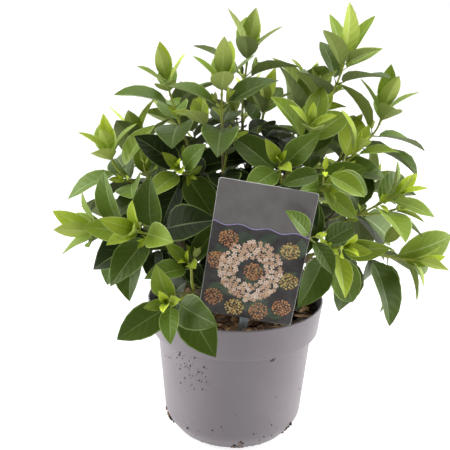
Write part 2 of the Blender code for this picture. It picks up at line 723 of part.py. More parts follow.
def build_label(soil, group, cutters):
    """The card, the stake behind it, and the stake's slit in the soil."""
    behind = CARD_THICKNESS / 2 + GAP + STAKE_THICKNESS / 2
    group.objects.link(flat_plate("label_card", card_outline(), CARD_THICKNESS, 0, "card_print"))
    group.objects.link(flat_plate("label_stake", stake_outline(), STAKE_THICKNESS, behind, "clear_plastic"))
    slit = flat_plate("stake slit", stake_outline(GAP), STAKE_THICKNESS + 2 * GAP, behind, "soil_brown")
    cutters.objects.link(slit)
    slit_mesh = welded_mesh(slit)
    bpy.data.objects.remove(slit)
    cut_away(soil, bpy.data.objects.new("slit in the soil", slit_mesh), cutters)


def main():
    for old in list(bpy.data.objects):
        bpy.data.objects.remove(old)
    plant = collection("potted laurustinus")
    cutters = collection("cutters")
    build_pot(plant, cutters)
    soil = turned_object("soil", soil_profile(), SOIL_STEPS, plant, "soil_brown")
    build_label(soil, plant, cutters)
    build_main_stem(plant)
    for name in BOUGHS:
        path = bough_path(name)
        radii = np.linspace(BOUGH_ROOT_RADIUS, BOUGH_TIP_RADIUS, len(path))
        limb("bough_" + name, path, radii, BOUGH_ROUNDNESS, plant)
    paths, twigs, leaves = settle_leaves([limb_tree(piece) for piece in plant.objects])
    for name, path in paths.items():
        build_shoot(name, path, twigs[name], leaves[name], plant)


main()
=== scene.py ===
"""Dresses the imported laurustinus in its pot: leaves, green stems, bark, mulch, pot wall and label.

Metres, +Z up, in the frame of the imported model. The foliage grows again by the rule of the
solids, on the same limbs, and is carried to finer twigs within the same reach.
"""

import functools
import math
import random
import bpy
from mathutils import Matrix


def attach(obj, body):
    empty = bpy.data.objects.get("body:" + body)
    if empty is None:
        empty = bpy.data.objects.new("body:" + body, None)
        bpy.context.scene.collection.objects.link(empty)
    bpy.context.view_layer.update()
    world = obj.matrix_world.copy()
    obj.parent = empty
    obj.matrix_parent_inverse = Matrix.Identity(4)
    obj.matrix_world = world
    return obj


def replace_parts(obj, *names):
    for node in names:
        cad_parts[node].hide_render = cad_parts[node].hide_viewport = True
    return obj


bl_info = {
    "name": "Potted laurustinus",
    "version": (1, 0, 0),
    "blender": (4, 5, 0),
    "location": "3D View > Sidebar > Laurustinus",
    "description": "Dresses the packed laurustinus with its leaves, bark, mulch, pot and label",
    "category": "Object",
}

import bpy
import numpy as np
from mathutils import Matrix
from mathutils.bvhtree import BVHTree

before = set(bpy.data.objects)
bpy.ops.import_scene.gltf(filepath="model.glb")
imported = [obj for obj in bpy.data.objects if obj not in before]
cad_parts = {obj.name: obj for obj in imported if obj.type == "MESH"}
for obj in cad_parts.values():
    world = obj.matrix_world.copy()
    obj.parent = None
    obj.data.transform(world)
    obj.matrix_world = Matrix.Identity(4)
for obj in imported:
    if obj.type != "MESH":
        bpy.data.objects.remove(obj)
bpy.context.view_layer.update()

MM = 0.001
CM = 0.01
GAP = 0.3 * MM
SHARP_EDGE = math.radians(55)
SURFACE_LENGTH = 20 * MM

# Pot: outer radii and heights of its turned wall
POT_HEIGHT = 112 * MM
RIM_RADIUS = 70 * MM
COLLAR_FOOT_Z = 86 * MM
COLLAR_FOOT_RADIUS = 67.4 * MM
BODY_TOP_RADIUS = 62.4 * MM
BODY_FOOT_Z = 12.5 * MM
BODY_FOOT_RADIUS = 55.7 * MM
FOOT_RADIUS = 45.5 * MM
POT_WALL = 1.4 * MM
RIM_BEAD = 0.9 * MM
POT_FLOOR = 2.0 * MM
POT_STEPS = 144
WALL_STEP = 4 * MM
BEND_POINTS = 5
DRAIN_HOLES = 6
DRAIN_HOLE_RADIUS = 4.5 * MM
DRAIN_HOLE_SIDES = 24
DRAIN_RING_RADIUS = 34 * MM

# Soil and the bark chips on it. Ranges with MM in their name are in millimetres
SOIL_TOP = 101 * MM
SOIL_DISHING = 1.5 * MM
SOIL_CLEARANCE = 0.4 * MM
SOIL_STEPS = 96
SOIL_RINGS = 40
LUMP_HEIGHT = 0.7 * MM
LUMP_DROP = 1.2 * MM
CHIP_COUNT = 620
CHIP_LENGTHS_MM = (6, 23)
CHIP_WIDTH_SHARES = (0.2, 0.5)
CHIP_THICKNESSES_MM = (0.8, 2.2)
CHIP_LIFTS_MM = (0.2, 3.4)
CHIP_TILT = 13
CHIP_WALL_GAP = 5 * MM
CHIP_WALL_MARGIN = 3.5 * MM
CHIP_SHORTENING = 9 * MM
CHIP_SHORTEST = 0.35
CHIP_TONES = (0.0, 0.1, 0.35, 0.9)
CHIP_TONE_SHARES = (0.3, 0.25, 0.2, 0.25)
FLAKE_CORNERS = 6
FLAKE_UNEVENNESS = 0.32
FLAKE_UNDERSIDE = 0.9
FLAKE_FLOOR = 0.05 * MM

# Loose crumbs on the wall, and clumps of them: direction in degrees and height in millimetres of
# the middle, spread, number, and size in millimetres
CRUMB_COUNT = 60
CRUMB_HEIGHTS_MM = (1, 80)
CRUMB_SIZES_MM = (0.3, 0.9)
CRUMB_LIMITS_MM = (0.3, 85)
CRUMB_TONE_SHARES = (0.75, 0.25)
CRUMB_CLUMPS = [
    (-124, 68, 9, 60, 0.8),
    (-132, 80, 5, 18, 0.8),
    (-62, 82, 1.2, 5, 0.9),
    (-163, 9, 3, 26, 2.1),
    (-33, 8, 3, 22, 1.9),
    (-84, 1, 4, 40, 1.4),
    (-118, 2, 11, 26, 0.9),
    (-60, 1.5, 12, 22, 0.8),
    (95, 3, 25, 40, 0.9),
]

# Picture label, and its stake
CARD_WIDTH = 68 * MM
CARD_HEIGHT = 108 * MM
CARD_THICKNESS = 0.7 * MM
CARD_CORNER = 2 * MM
CARD_FOOT = np.array((6.0, -62.0, 119.0)) * MM
CARD_LEAN = math.radians(10.3)
CARD_ROLL = math.radians(7.9)
CARD_YAW = math.radians(-4.5)
CARD_EDGE = 0.25 * MM
CARD_BEVEL = 0.2 * MM
CARD_CORNER_STEPS = 7
CARD_RING = 4 * CARD_CORNER_STEPS
PRINT_LIFT_MM = 0.01
PRINT_LAYER_MM = 0.0015
WAVE_PLACE = 0.69 * CARD_HEIGHT
WAVE_DEPTH = 1.1 * MM
WAVE_LENGTH = 3.1 * MM
WAVE_POINTS = 90
WAVE_LINE = np.array((0, 0.3)) * MM
PICTURE_MIDDLE = (0, 0.35 * CARD_HEIGHT)
PICTURE_REACH = 0.35 * CARD_HEIGHT
WREATH_MIDDLE = (-2 * MM, 40 * MM)
WREATH_RADII = (10 * MM, 22 * MM)
WREATH_SHARE = 0.9
BUD_HEADS_MM = ((-25, 14), (-9, 8), (9, 8), (25, 14), (26, 37), (-27, 45), (0, 40), (23, 61), (-21, 63))
BUD_HEAD_RADIUS = 6.6 * MM
STAKE_WIDTH = 6.5 * MM
STAKE_POINT_WIDTH = 3 * MM
STAKE_LENGTH = 52 * MM
STAKE_OVERLAP = 14 * MM
STAKE_THICKNESS = 1.0 * MM
STAKE_RIM = 1.1 * MM
SOLID_CARD_THICKNESS = 0.8 * MM
STAKE_BEHIND = SOLID_CARD_THICKNESS / 2 + GAP + STAKE_THICKNESS / 2

# Main stem and boughs
STEM_FOOT = np.array((0.2, 0.4, 10.13)) * CM
STEM_TOP = np.array((0.7, 0.9, 18.2)) * CM
STEM_FLARE_RADIUS = 8.5 * MM
STEM_FOOT_RADIUS = 5.2 * MM
STEM_TOP_RADIUS = 3.2 * MM
STEM_FLARE_HEIGHT = 9 * MM
STEM_POINTS = 10
BOUGH_ROOT_RADIUS = 2.5 * MM
BOUGH_TIP_RADIUS = 1.9 * MM
BOUGH_POINTS = 8
BOUGH_RISE = 0.35
BOUGH_RISE_GAIN = 0.5
BOUGH_SUNK = 3.2 * MM
BOUGH_SWELLING = 0.25
BOUGH_SWELLING_LENGTH = 4 * MM
MAIN_STEM_RINGS = 70
MAIN_STEM_SIDES = 28
BOUGH_RINGS = 60
BOUGH_SIDES = 18

# Each bough: the height where it leaves the main stem, and its tip, in centimetres
BOUGHS = {
    "front_left": (11.6, (-3.2, -4.8, 13.4)),
    "left": (12.8, (-5.0, -1.4, 16.6)),
    "left_upper": (14.2, (-5.8, 0.4, 18.8)),
    "right_front": (12.2, (5.4, -4.4, 16.2)),
    "right": (13.4, (6.0, -0.8, 16.8)),
    "back_left": (12.4, (-3.2, 3.8, 16.4)),
    "back_right": (13.8, (3.6, 4.0, 16.8)),
    "centre_front": (15.0, (-1.3, -2.0, 20.4)),
    "upper_left": (15.6, (-3.4, 0.4, 20.8)),
    "centre_right": (16.0, (3.2, -1.8, 20.6)),
    "right_upper": (16.6, (5.6, 0.2, 20.6)),
    "back_high": (16.8, (-0.8, 4.0, 21.0)),
    "upper_right": (17.4, (3.8, 1.8, 22.6)),
    "top": (18.2, (0.7, 1.4, 22.6)),
}

# Each leafy shoot: its bough, its growing tip in centimetres, the way that the tip points, the
# turn of its last leaf pair in degrees from flat across the front view, how many degrees its
# old leaves hang, and the least share of full length that its young leaves have reached
SHOOTS = {
    "low_rosette": ("front_left", (-4.8, -9.2, 14.2), (-0.15, -0.85, 0.5), 80, 0, 0.4),
    "low_inner": ("front_left", (-3.6, -6.0, 16.0), (-0.4, -0.7, 0.3), 20, 10, 0.3),
    "left_mid": ("left", (-7.1, -6.5, 18.5), (-0.45, -0.6, 0.55), -60, 0, 0.6),
    "far_left": ("left", (-10.4, -3.5, 17.4), (-0.9, -0.35, 0.2), 90, 0, 0.75),
    "left_low_rear": ("left", (-9.6, 3.2, 16.8), (-0.8, 0.5, 0.3), 50, 10, 0.3),
    "left_high": ("left_upper", (-9.6, -1.5, 23.0), (0.05, -0.2, 1.0), 90, 0, 0.7),
    "left_high_rear": ("left_upper", (-8.1, 3.0, 22.9), (-0.1, 0.1, 1.0), 0, 0, 0.7),
    "upper_left": ("upper_left", (-5.5, 0.0, 28.0), (-0.2, -0.1, 1.0), 90, 0, 0.7),
    "left_inner": ("upper_left", (-4.4, -3.6, 22.4), (-0.3, -0.6, 0.6), 20, 10, 0.3),
    "crown_front": ("centre_front", (-1.4, -2.5, 28.5), (0.05, -0.1, 1.0), 90, 0, 0.7),
    "over_label": ("centre_right", (2.8, -5.0, 23.2), (0.0, -0.7, 0.6), 40, 10, 0.3),
    "crown_top": ("top", (0.5, 2.0, 30.3), (0.1, 0.0, 1.0), 90, 0, 0.75),
    "crown_right": ("top", (1.9, 1.6, 26.2), (0.1, -0.1, 1.0), 60, 0, 0.7),
    "top_right": ("upper_right", (7.6, 0.5, 29.9), (0.1, -0.05, 1.0), 40, 0, 0.95),
    "top_right_rear": ("upper_right", (5.4, 4.6, 27.6), (-0.1, 0.3, 1.0), 10, 0, 0.5),
    "front_right": ("centre_right", (5.0, -3.5, 25.8), (-0.05, -0.35, 0.9), 90, 0, 0.35),
    "right_inner": ("centre_right", (6.2, -4.8, 21.4), (0.3, -0.7, 0.4), 30, 20, 0.3),
    "right_high": ("right_upper", (10.9, 1.5, 26.0), (-0.1, -0.1, 1.0), 90, 0, 0.75),
    "right_mid": ("right_upper", (8.7, -2.5, 24.1), (0.35, -0.15, 1.0), 0, 0, 0.3),
    "right_low": ("right", (11.5, -3.5, 20.8), (0.6, -0.4, 0.6), 0, 0, 0.5),
    "right_rear": ("right", (11.2, 4.4, 20.0), (0.7, 0.5, 0.5), 10, 10, 0.4),
    "far_right": ("right_front", (13.3, -4.0, 15.9), (0.9, -0.3, 0.1), 90, 50, 0.5),
    "low_right": ("right_front", (7.2, -7.6, 18.0), (0.3, -0.8, 0.4), -50, 70, 0.5),
    "rear_left_low": ("back_left", (-7.0, 7.2, 17.4), (-0.6, 0.7, 0.3), 20, 20, 0.4),
    "rear_low": ("back_left", (-0.6, 9.8, 16.6), (0.1, 0.9, 0.3), 40, 20, 0.4),
    "rear_right_low": ("back_right", (7.4, 7.8, 17.0), (0.7, 0.7, 0.3), 10, 20, 0.5),
    "rear_right": ("back_right", (6.8, 7.4, 22.4), (0.3, 0.5, 0.8), 35, 0, 0.7),
    "rear_left": ("back_high", (-4.8, 6.6, 24.0), (-0.3, 0.4, 0.9), 50, 0, 0.7),
    "rear_high": ("back_high", (0.6, 7.2, 26.0), (0.0, 0.3, 1.0), 20, 0, 0.6),
}

# The growth rule. Pair 0 is the growing tip's pair, and each next one is further down the stem.
# Places along a stem are in millimetres and angles in degrees
SHOOT_ROOT_RADIUS = 1.3 * MM
SHOOT_TIP_RADIUS = 0.9 * MM
SHOOT_POINTS = 8
FORK_SPREAD = 1.7 * MM
FORK_OUT = 0.45
FORK_AIM = 0.4
PAIR_PLACES = (1.5, 4, 9, 20, 34, 50, 68, 88, 108)
LEAF_SHARES = (0.3, 0.5, 0.82, 1.02, 1.1, 1.12, 1.06, 0.98, 0.9)
LEAF_ANGLES = (15, 32, 45, 54, 64, 72, 78, 80, 80)
LEAF_SAGS = (0, 0, 1, 3, 6, 10, 14, 18, 20)
LEAF_BENDS = (8, 14, 20, 26, 30, 34, 36, 36, 36)
LEAF_TWISTS = (0.2, 0.35, 0.8, 1.8, 3.0, 4.0, 4.5, 5.0, 5.5)
LEAF_LENGTH = 48 * MM
SMALL_LEAF = 0.6 * LEAF_LENGTH
SMALL_LEAF_RINGS = (0.5,)
LEAF_RINGS = (0.4, 0.75)
LEAF_ASPECT = 0.56
LEAF_FOLD = math.radians(22)
LEAF_THICKNESS = 0.018
LEAF_OUTLINE = (2.9, 0.72, 0.82)
PETIOLE_SHARE = 0.14
LEAF_SUNK = 0.25 * MM
MOST_SAG = 0.85
DROOP_PAIRS = 4
SHOOT_VIGOUR = (0.94, 1.08)
BARE_FOOT = 9 * MM
TWIG_FIRST_PAIR = 4
TWIG_CHANCE = 0.35
TWIG_LENGTH = 26 * MM
TWIG_SIZES = (0.75, 1.3)
TWIG_TURN = 12
TWIG_SPREAD = 0.75
TWIG_RISE = np.array((0, 0, 0.25))
TWIG_TIP_RISE = np.array((0, 0, 0.7))
TWIG_POINTS = 4
TWIG_PAIR_PLACES = (1.5, 5, 13)
TWIG_LEAF_SHARES = (0.3, 0.5, 0.74)
SKYWARD = np.array((0.0, 0.0, 0.6))
OUTWARD = np.array((0.2, 1.3, 0.5))
CROWN_MIDDLE = np.array((0.5, 1.5, 15.0)) * CM
LOWEST_LEAF_Z = 97 * MM
TOUCHING_FROM = (0.05, 0.2)
NEAR_LEAVES = 1.5 * LEAF_LENGTH
FEWEST_LEAVES = 300
ODD_WAY = (0.31, 0.22, 0.93)
RETRIES = ((0, 0), (20, 0), (-20, 0), (0, -14), (0, 14), (40, 0), (-40, 0), (30, -18), (-30, -18))

# Finer growth: sprigs in the leaf axils, twigs inside the crown and at its front, and a bud
# on each tip. Each pair of a finer branch has its place back from the tip, the pair of the rule
# whose angles it takes, and its leaves' share of full length
SPRIG_CHANCE = 0.3
SPRIG_FIRST_PAIR = 2
SPRIG_LENGTH = 8 * MM
SPRIG_PAIRS = ((0.6, 0, 0.15), (3.5, 1, 0.26))
SPRIG_SIZES = (0.6, 1.4)
SPRIG_ABOVE_PAIR = 1.5 * MM
SPRIG_RADIUS = 0.5 * MM
TWIG_RADIUS = 0.75 * MM
BRANCH_SPREAD = 0.9
BRANCH_RISE = np.array((0, 0, 0.2))
BRANCH_POINTS = 6
BRANCH_TURN = 45
INNER_TWIGS = 7
INNER_TWIG_LENGTH = 24 * MM
INNER_TURN = 137.5
INNER_PAIRS = ((0.05, 5, 0.62), (0.45, 6, 0.72))
INNER_REACH = 62 * MM
INNER_FRONT = -48 * MM
INNER_SHARE = 0.85
FRONT_PAIRS = ((1, 1, 0.25), (3, 3, 0.62), (21, 5, 0.78))

# Each twig of the crown's front: its limb, the share of the limb where it leaves, its tip in
# centimetres, the way that the tip points, its last pair's turn, and its leaves' droop
FRONT_TWIGS = (
    ("low_right", 0.5, (5.1, -8.5, 19.0), (0.8, 0.2, 0.1), 90, 30),
    ("right_inner", 0.7, (5.6, -7.8, 23.4), (0.0, -0.6, 0.8), 90, 60),
    ("left", 0.71, (-7.6, -2.5, 16.2), (0.8, 0.3, 0.4), 30, 0),
)
FRONT_TWIG_POINTS = 10
BUD_SHARE = 0.17
BUD_PLACE = 0.4 * MM
STEM_RINGS = 44
STEM_SIDES = 8
STEM_SUNK = 2 * MM
STEM_TIP_SHARE = 0.75
TWIG_TIP_SHARE = 0.7
STEM_BANDS_MM = (32, 55)
STEM_TONES = (0.0, 0.45, 0.9)
NODE_SWELLING = 0.32 * MM
NODE_LENGTH = 1.1 * MM
FINE_SIDES = 6
FINE_TIP_SHARE = 0.6

# A leaf's tone, from 0 to 5, stands for its age and for painted shade and light. Each pair down the stem is
# older, and spreading early makes it older still. Painted shade darkens it in the crown's middle, at its foot
# and before its front, and it is darker high in the crown. Further out than the outer edge, painted light
# keeps every leaf off the darkest tones
TONES = 6
PAIR_AGE = 0.95
AGE_CHANCE = 0.45
CROWN_FLATTENING = (1, 1, 0.8)
PAINTED_SHADE_DARKENING = 2.4
SHADE_EDGE = 85 * MM
SHADE_DEPTH = 50 * MM
LOW_LEAVES = (230 * MM, 160 * MM)
HIGH_LEAVES = (215 * MM, 275 * MM)
HIGH_DARKENING = 0.8
SPREAD_LENGTHS = (0.5, 0.75)
SPREAD_PAIRS = (2.2, 1.2)
SPREAD_AGE = 0.9
CROWN_FRONT = np.array((0, -35, 215)) * MM
CROWN_FRONT_REACH = np.array((60, 40, 45)) * MM
INNER_DARKEST_TONE = 5.3
LIT_OUTER_DARKEST_TONE = 3.7
OUTER_LEAVES = (70 * MM, 95 * MM)

# One blade's skin: its rows along the rib, then the points of its section, upper side first, as
# a share of half its width and of half its thickness, and the finish of the face that follows
# each point: 0 upper side, 1 underside, 2 rib, 3 rib below, 5 margin. Side veins have finish 4
BLADE_ROWS = (0.05, 0.17, 0.32, 0.48, 0.64, 0.8, 0.93)
BLADE_SECTION = (
    (-1, 0, 5),
    (-0.93, 0.7, 0),
    (-0.04, 1, 2),
    (0.04, 1, 0),
    (0.93, 0.7, 5),
    (1, 0, 1),
    (0.08, -1, 3),
    (-0.08, -1, 1),
)
LEAFLET_ROWS = (0.12, 0.42, 0.75)
LEAFLET_SECTION = ((-1, 0, 0), (-0.08, 0.8, 2), (0.08, 0.8, 0), (1, 0, 1), (0, -1, 1))
LEAFLET_SHARE = 0.35
LEAF_HALF_THICKNESS = 0.17 * MM
LEAF_THICKNESS_LIMIT = 0.012
BLADE_FULLNESS = 3.16
BLADE_RISE = 0.7
BLADE_WAVES = 6
BLADE_WAVE_LAG = 1.6
WIDTH_PAIRS = (0, 1, 2, 3, 4)
WIDTH_SHARES = (0.7, 0.74, 0.8, 0.9, 1)
LEAF_FINISHES = 6
RIB_FINISH = 2
VEIN_FINISH = 4
QUILTING_VEINS = 7.0
LEAF_COLOURS = ("young", "grown", "old", "under", "vein")

# A side vein: where it leaves the rib, its points as shares ahead of that and across, the half
# widths of its strip at them, and how high it stands as a share of the blade's half thickness
SIDE_VEINS = (0.1, 0.25, 0.4, 0.55)
VEIN_POINTS = ((0, 0.05), (0.09, 0.42), (0.22, 0.8))
VEIN_HALF_WIDTHS = (0.22 * MM, 0.16 * MM, 0.05 * MM)
VEIN_LIFT = 1.7
VEIN_STEP = 0.02

# A leaf stalk: its rings as shares of its length, and their thickness as a share of its radius
STALK_RINGS = (0, 0.6, 1.3)
STALK_THICKNESS = (1.25, 0.85, 0.4)
STALK_SIDES = 4
STALK_RADIUS = 0.013
STALK_RADII = (0.2 * MM, 0.6 * MM)
STALK_DROP = 0.25 * MM

# Studio: the camera, the floor, and each soft light's place and the setting with its power
CAMERA_PLACE = (-0.00975, -0.6031, 0.3554)
CAMERA_TILT = math.radians(90 - 17.044)
CAMERA_ROLL = math.radians(1.347)
CAMERA_LENS = 64.24
CAMERA_SENSOR = 36
NEAREST_SEEN = 10 * MM
FLOOR_RADIUS = 9
FLOOR_SIDES = 64
FLOOR_DROP = 0.1 * MM
PLANT_MIDDLE = (0, 0, 0.16)
SOFTBOX_SIZE = 0.9
SOFTBOXES = {
    "left_softbox": ((-0.95, 0.05, 0.45), "side_power"),
    "right_softbox": ((0.95, 0.08, 0.4), "side_power"),
    "top_softbox": ((0.1, 0.1, 1.2), "top_power"),
}


def colour_property(name, description, default):
    """A colour that the user can change."""
    return bpy.props.FloatVectorProperty(
        name=name, description=description, subtype="COLOR", size=3, min=0, max=1, default=default
    )


def count_property(name, description, default):
    """A number of things that the user can change."""
    return bpy.props.IntProperty(name=name, description=description, min=1, default=default)


def light_property(name, description, default, subtype="NONE"):
    """A strength of light that the user can change."""
    return bpy.props.FloatProperty(
        name=name, description=description, subtype=subtype, min=0, default=default
    )


class FoliageSettings(bpy.types.PropertyGroup):
    """Colours and gloss of the leaves and stems."""

    young: colour_property("Young leaf", "Upper side of the newest leaves", (0.4, 0.5, 0.032))
    grown: colour_property("Grown leaf", "Upper side of full-grown leaves", (0.104, 0.172, 0.016))
    # The darkest tones lean to the old leaf colour, and they also stand for painted shade deep in the crown
    old: colour_property("Old leaf", "Upper side of the oldest leaves", (0.015, 0.026, 0.005))
    under: colour_property("Underside", "Lower side of grown leaves", (0.18, 0.22, 0.08))
    vein: colour_property("Rib", "Midrib and side veins", (0.19, 0.27, 0.07))
    stem: colour_property("Green stem", "Stems of this year", (0.32, 0.36, 0.03))
    twig: colour_property("Brown twig", "Stems of last year", (0.11, 0.09, 0.035))
    bark: colour_property("Bark", "Main stem and boughs", (0.15, 0.105, 0.06))
    roughness: bpy.props.FloatProperty(
        name="Leaf roughness",
        description="Roughness of a leaf's upper side",
        subtype="FACTOR",
        min=0,
        max=1,
        default=0.42,
    )


class PotSettings(bpy.types.PropertyGroup):
    """Colours of the pot, and how much clings to it."""

    wall: colour_property("Wall", "Moulded grey plastic", (0.165, 0.143, 0.159))
    dust: colour_property("Dust", "Dried soil on the wall", (0.1, 0.07, 0.045))
    crumbs: count_property("Crumbs", "Loose soil crumbs on the wall", CRUMB_COUNT)


class MulchSettings(bpy.types.PropertyGroup):
    """Colours and number of the bark chips on the soil."""

    soil: colour_property("Soil", "Moist potting soil", (0.02, 0.011, 0.007))
    dark_chip: colour_property("Dark chip", "Outer bark", (0.055, 0.024, 0.012))
    pale_chip: colour_property("Pale chip", "Fresh wood", (0.78, 0.46, 0.23))
    chips: count_property("Chips", "Bark chips on the soil", CHIP_COUNT)


class LabelSettings(bpy.types.PropertyGroup):
    """Colours of the picture label's plain print."""

    header: colour_property("Header", "Plain band at the top", (0.11, 0.1, 0.1))
    line: colour_property("Line", "Waved line under the band", (0.36, 0.3, 0.55))
    ground: colour_property("Ground", "Ground of the picture", (0.018, 0.014, 0.014))
    petal: colour_property("Petal", "Petals of the small flowers", (0.56, 0.37, 0.26))
    bud: colour_property("Brown bud", "Round buds", (0.27, 0.09, 0.025))
    gold: colour_property("Golden bud", "Round buds of some heads", (0.34, 0.2, 0.04))


class StudioSettings(bpy.types.PropertyGroup):
    """Floor colour and light of the studio."""

    floor: colour_property("Floor", "Plain pale floor", (0.31, 0.31, 0.31))
    floor_glow: light_property("Floor glow", "Light that the floor gives off, which keeps it pale", 0.8)
    front_light: light_property("Front light", "Light of the room before the plant", 0.06)
    back_light: light_property("Back light", "Light of the room behind the plant", 1.25)
    side_power: light_property("Side lights", "Power of each soft side light", 16.0, "POWER")
    top_power: light_property("Top light", "Power of the soft top light", 11.0, "POWER")


SETTINGS = {
    "laurustinus_foliage": FoliageSettings,
    "laurustinus_pot": PotSettings,
    "laurustinus_mulch": MulchSettings,
    "laurustinus_label": LabelSettings,
    "laurustinus_studio": StudioSettings,
}


def unit(vector):
    """The vector at length 1."""
    return np.asarray(vector, float) / np.linalg.norm(vector)


def turned(vector, axis, angle):
    """The vector turned about a unit axis, by Rodrigues' formula."""
    cosine, sine = math.cos(angle), math.sin(angle)
    return vector * cosine + np.cross(axis, vector) * sine + axis * np.dot(axis, vector) * (1 - cosine)


def smooth_path(start, start_way, end, end_way, count):
    """Points on the cubic that leaves start along start_way and arrives at end along end_way."""
    reach = np.linalg.norm(end - start)
    t = np.linspace(0, 1, count)[:, None]
    return (
        (2 * t**3 - 3 * t**2 + 1) * start
        + (t**3 - 2 * t**2 + t) * reach * unit(start_way)
        + (3 * t**2 - 2 * t**3) * end
        + (t**3 - t**2) * reach * unit(end_way)
    )


def even_turns(count):
    """Even turns round a circle, from 0."""
    return np.linspace(0, math.tau, count, endpoint=False)


def directions(turn):
    """The unit vector of a plane at each turn, and the one a quarter turn on."""
    cosine, sine = np.cos(turn), np.sin(turn)
    return np.stack((cosine, sine), -1), np.stack((-sine, cosine), -1)


def path_ways(path):
    """The unit way at each point of a path, from its neighbours."""
    ways = np.gradient(path, axis=0)
    return ways / np.linalg.norm(ways, axis=1)[:, None]


def path_lengths(path):
    """The length along a path up to each of its points."""
    return np.concatenate(([0.0], np.cumsum(np.linalg.norm(np.diff(path, axis=0), axis=1))))


def carried_sides(path, first_side):
    """A side vector at each point of a path, carried along without twist from the first."""
    sides = []
    side = first_side
    for way in path_ways(path):
        side = unit(side - way * np.dot(side, way))
        sides.append(side)
    return np.array(sides)


def touch_tree(sections):
    """A search tree of the closed skin through sections of equal counts, or single points, to find
    what touches it."""
    vertices = [tuple(point) for section in sections for point in section]
    starts = np.cumsum([0] + [len(section) for section in sections])
    rings = [range(starts[i], starts[i + 1]) for i in range(len(sections))]
    faces = []
    for near, far in zip(rings, rings[1:]):
        count = max(len(near), len(far))
        for i in range(count):
            j = (i + 1) % count
            a, b = near[i % len(near)], near[j % len(near)]
            c, d = far[j % len(far)], far[i % len(far)]
            faces += [face for face in ((a, b, c), (a, c, d)) if len(set(face)) == 3]
    return BVHTree.FromPolygons(vertices, faces)


def stem_tree(path, root_radius, tip_radius):
    """A search tree of a stem: three-sided rings along its path, tapering from root to tip."""
    return touch_tree(swept(path, np.linspace(root_radius, tip_radius, len(path)), 3))


def blade_line(leaf, u):
    """The point, way and normal at share u of a leaf's length. The blade bends down evenly."""
    bend = leaf["bend"]
    blade_u = max(u - PETIOLE_SHARE, 0) / (1 - PETIOLE_SHARE)
    straight = min(u, PETIOLE_SHARE) * leaf["length"]
    arc = (1 - PETIOLE_SHARE) * leaf["length"]
    angle = bend * blade_u
    forward = straight + arc * math.sin(angle) / bend
    down = arc * (1 - math.cos(angle)) / bend
    point = leaf["root"] + leaf["way"] * forward - leaf["normal"] * down
    way = leaf["way"] * math.cos(angle) - leaf["normal"] * math.sin(angle)
    normal = leaf["normal"] * math.cos(angle) + leaf["way"] * math.sin(angle)
    return point, way, normal


def outline(blade_u):
    """Half the blade's width as a share of its widest: egg-shaped, with a drawn-out tip. It is a
    factor times a power of the way from the base times a power of the way from the tip."""
    fullness, rise, fall = LEAF_OUTLINE
    return fullness * blade_u**rise * (1 - blade_u) ** fall


def leaf_sections(leaf, grow=0.0, start=0.0):
    """The leaf as the solids have it: root point, rings of four points, and tip."""
    across = np.cross(leaf["way"], leaf["normal"])
    thick = leaf["length"] * LEAF_THICKNESS / 2 + grow
    sections = [[blade_line(leaf, start)[0]]]
    for u in SMALL_LEAF_RINGS if leaf["length"] < SMALL_LEAF else LEAF_RINGS:
        point, _, normal = blade_line(leaf, u)
        blade_u = (u - PETIOLE_SHARE) / (1 - PETIOLE_SHARE)
        half = outline(blade_u) * leaf["length"] * LEAF_ASPECT / 2 + grow
        margin = across * half * math.cos(LEAF_FOLD)
        raised = point + normal * half * math.sin(LEAF_FOLD)
        sections.append([raised - margin, point + normal * thick, raised + margin, point - normal * thick])
    tip, way, _ = blade_line(leaf, 1.0)
    sections.append([tip + way * grow])
    return sections


def leaf_at(stem, pair, share, droop, draw):
    """One leaf of a pair: it leaves the stem at its pair's angle, sags, and twists to the light.
    The sag turns it down, but never quite to straight down, and the light is up and outward."""
    point, way, side = stem
    angle = math.radians(LEAF_ANGLES[pair] + draw["angle"])
    leaf_way = unit(math.cos(angle) * way + math.sin(angle) * side)
    normal = unit(math.sin(angle) * way - math.cos(angle) * side)
    hang = droop * min(pair, DROOP_PAIRS) / DROOP_PAIRS
    sag = math.radians(LEAF_SAGS[pair] + draw["sag"] + hang)
    sag = min(sag, MOST_SAG * math.acos(np.clip(-leaf_way[2], -1, 1)))
    level = np.cross(leaf_way, (0, 0, -1))
    if np.linalg.norm(level) > 0.2:
        level = unit(level)
        leaf_way, normal = turned(leaf_way, level, sag), turned(normal, level, sag)
    light = unit(SKYWARD + unit((point - CROWN_MIDDLE) * OUTWARD))
    normal = normal + LEAF_TWISTS[pair] * light
    normal = unit(normal - leaf_way * np.dot(normal, leaf_way))
    return {
        "root": point - side * LEAF_SUNK,
        "way": leaf_way,
        "normal": normal,
        "length": LEAF_LENGTH * share * draw["size"],
        "bend": math.radians(LEAF_BENDS[pair] + draw["bend"]),
        "pair": pair,
    }


def draws(chance):
    """The small chance differences of one leaf, always drawn in the same order."""
    return {
        "angle": chance.uniform(-9, 9),
        "sag": chance.uniform(-8, 8),
        "size": chance.uniform(0.88, 1.1),
        "bend": chance.uniform(-6, 12),
        "turn": chance.uniform(-10, 10),
    }


def point_on(path, sides, from_tip):
    """The point, way and side at a length back from a path's tip."""
    lengths = path_lengths(path)
    at = lengths[-1] - from_tip
    rows = (path, path_ways(path), sides)
    point, way, side = (np.array([np.interp(at, lengths, row[:, k]) for k in range(3)]) for row in rows)
    return point, unit(way), unit(side)


def pair_leaves(stem, pair, turn, share, droop, chance):
    """The two opposite leaves of a pair, each with the turned and lifted choices it may take."""
    point, way, side = stem
    leaves = []
    for half_turn in (0, 180):
        draw = draws(chance)
        choices = []
        for more_turn, more_angle in RETRIES:
            degrees = turn + half_turn + draw["turn"] + more_turn
            leaf_side = turned(side, way, math.radians(degrees))
            varied = dict(draw, angle=draw["angle"] + more_angle)
            choices.append(leaf_at((point, way, leaf_side), pair, share, droop, varied))
        leaves.append(choices)
    return leaves


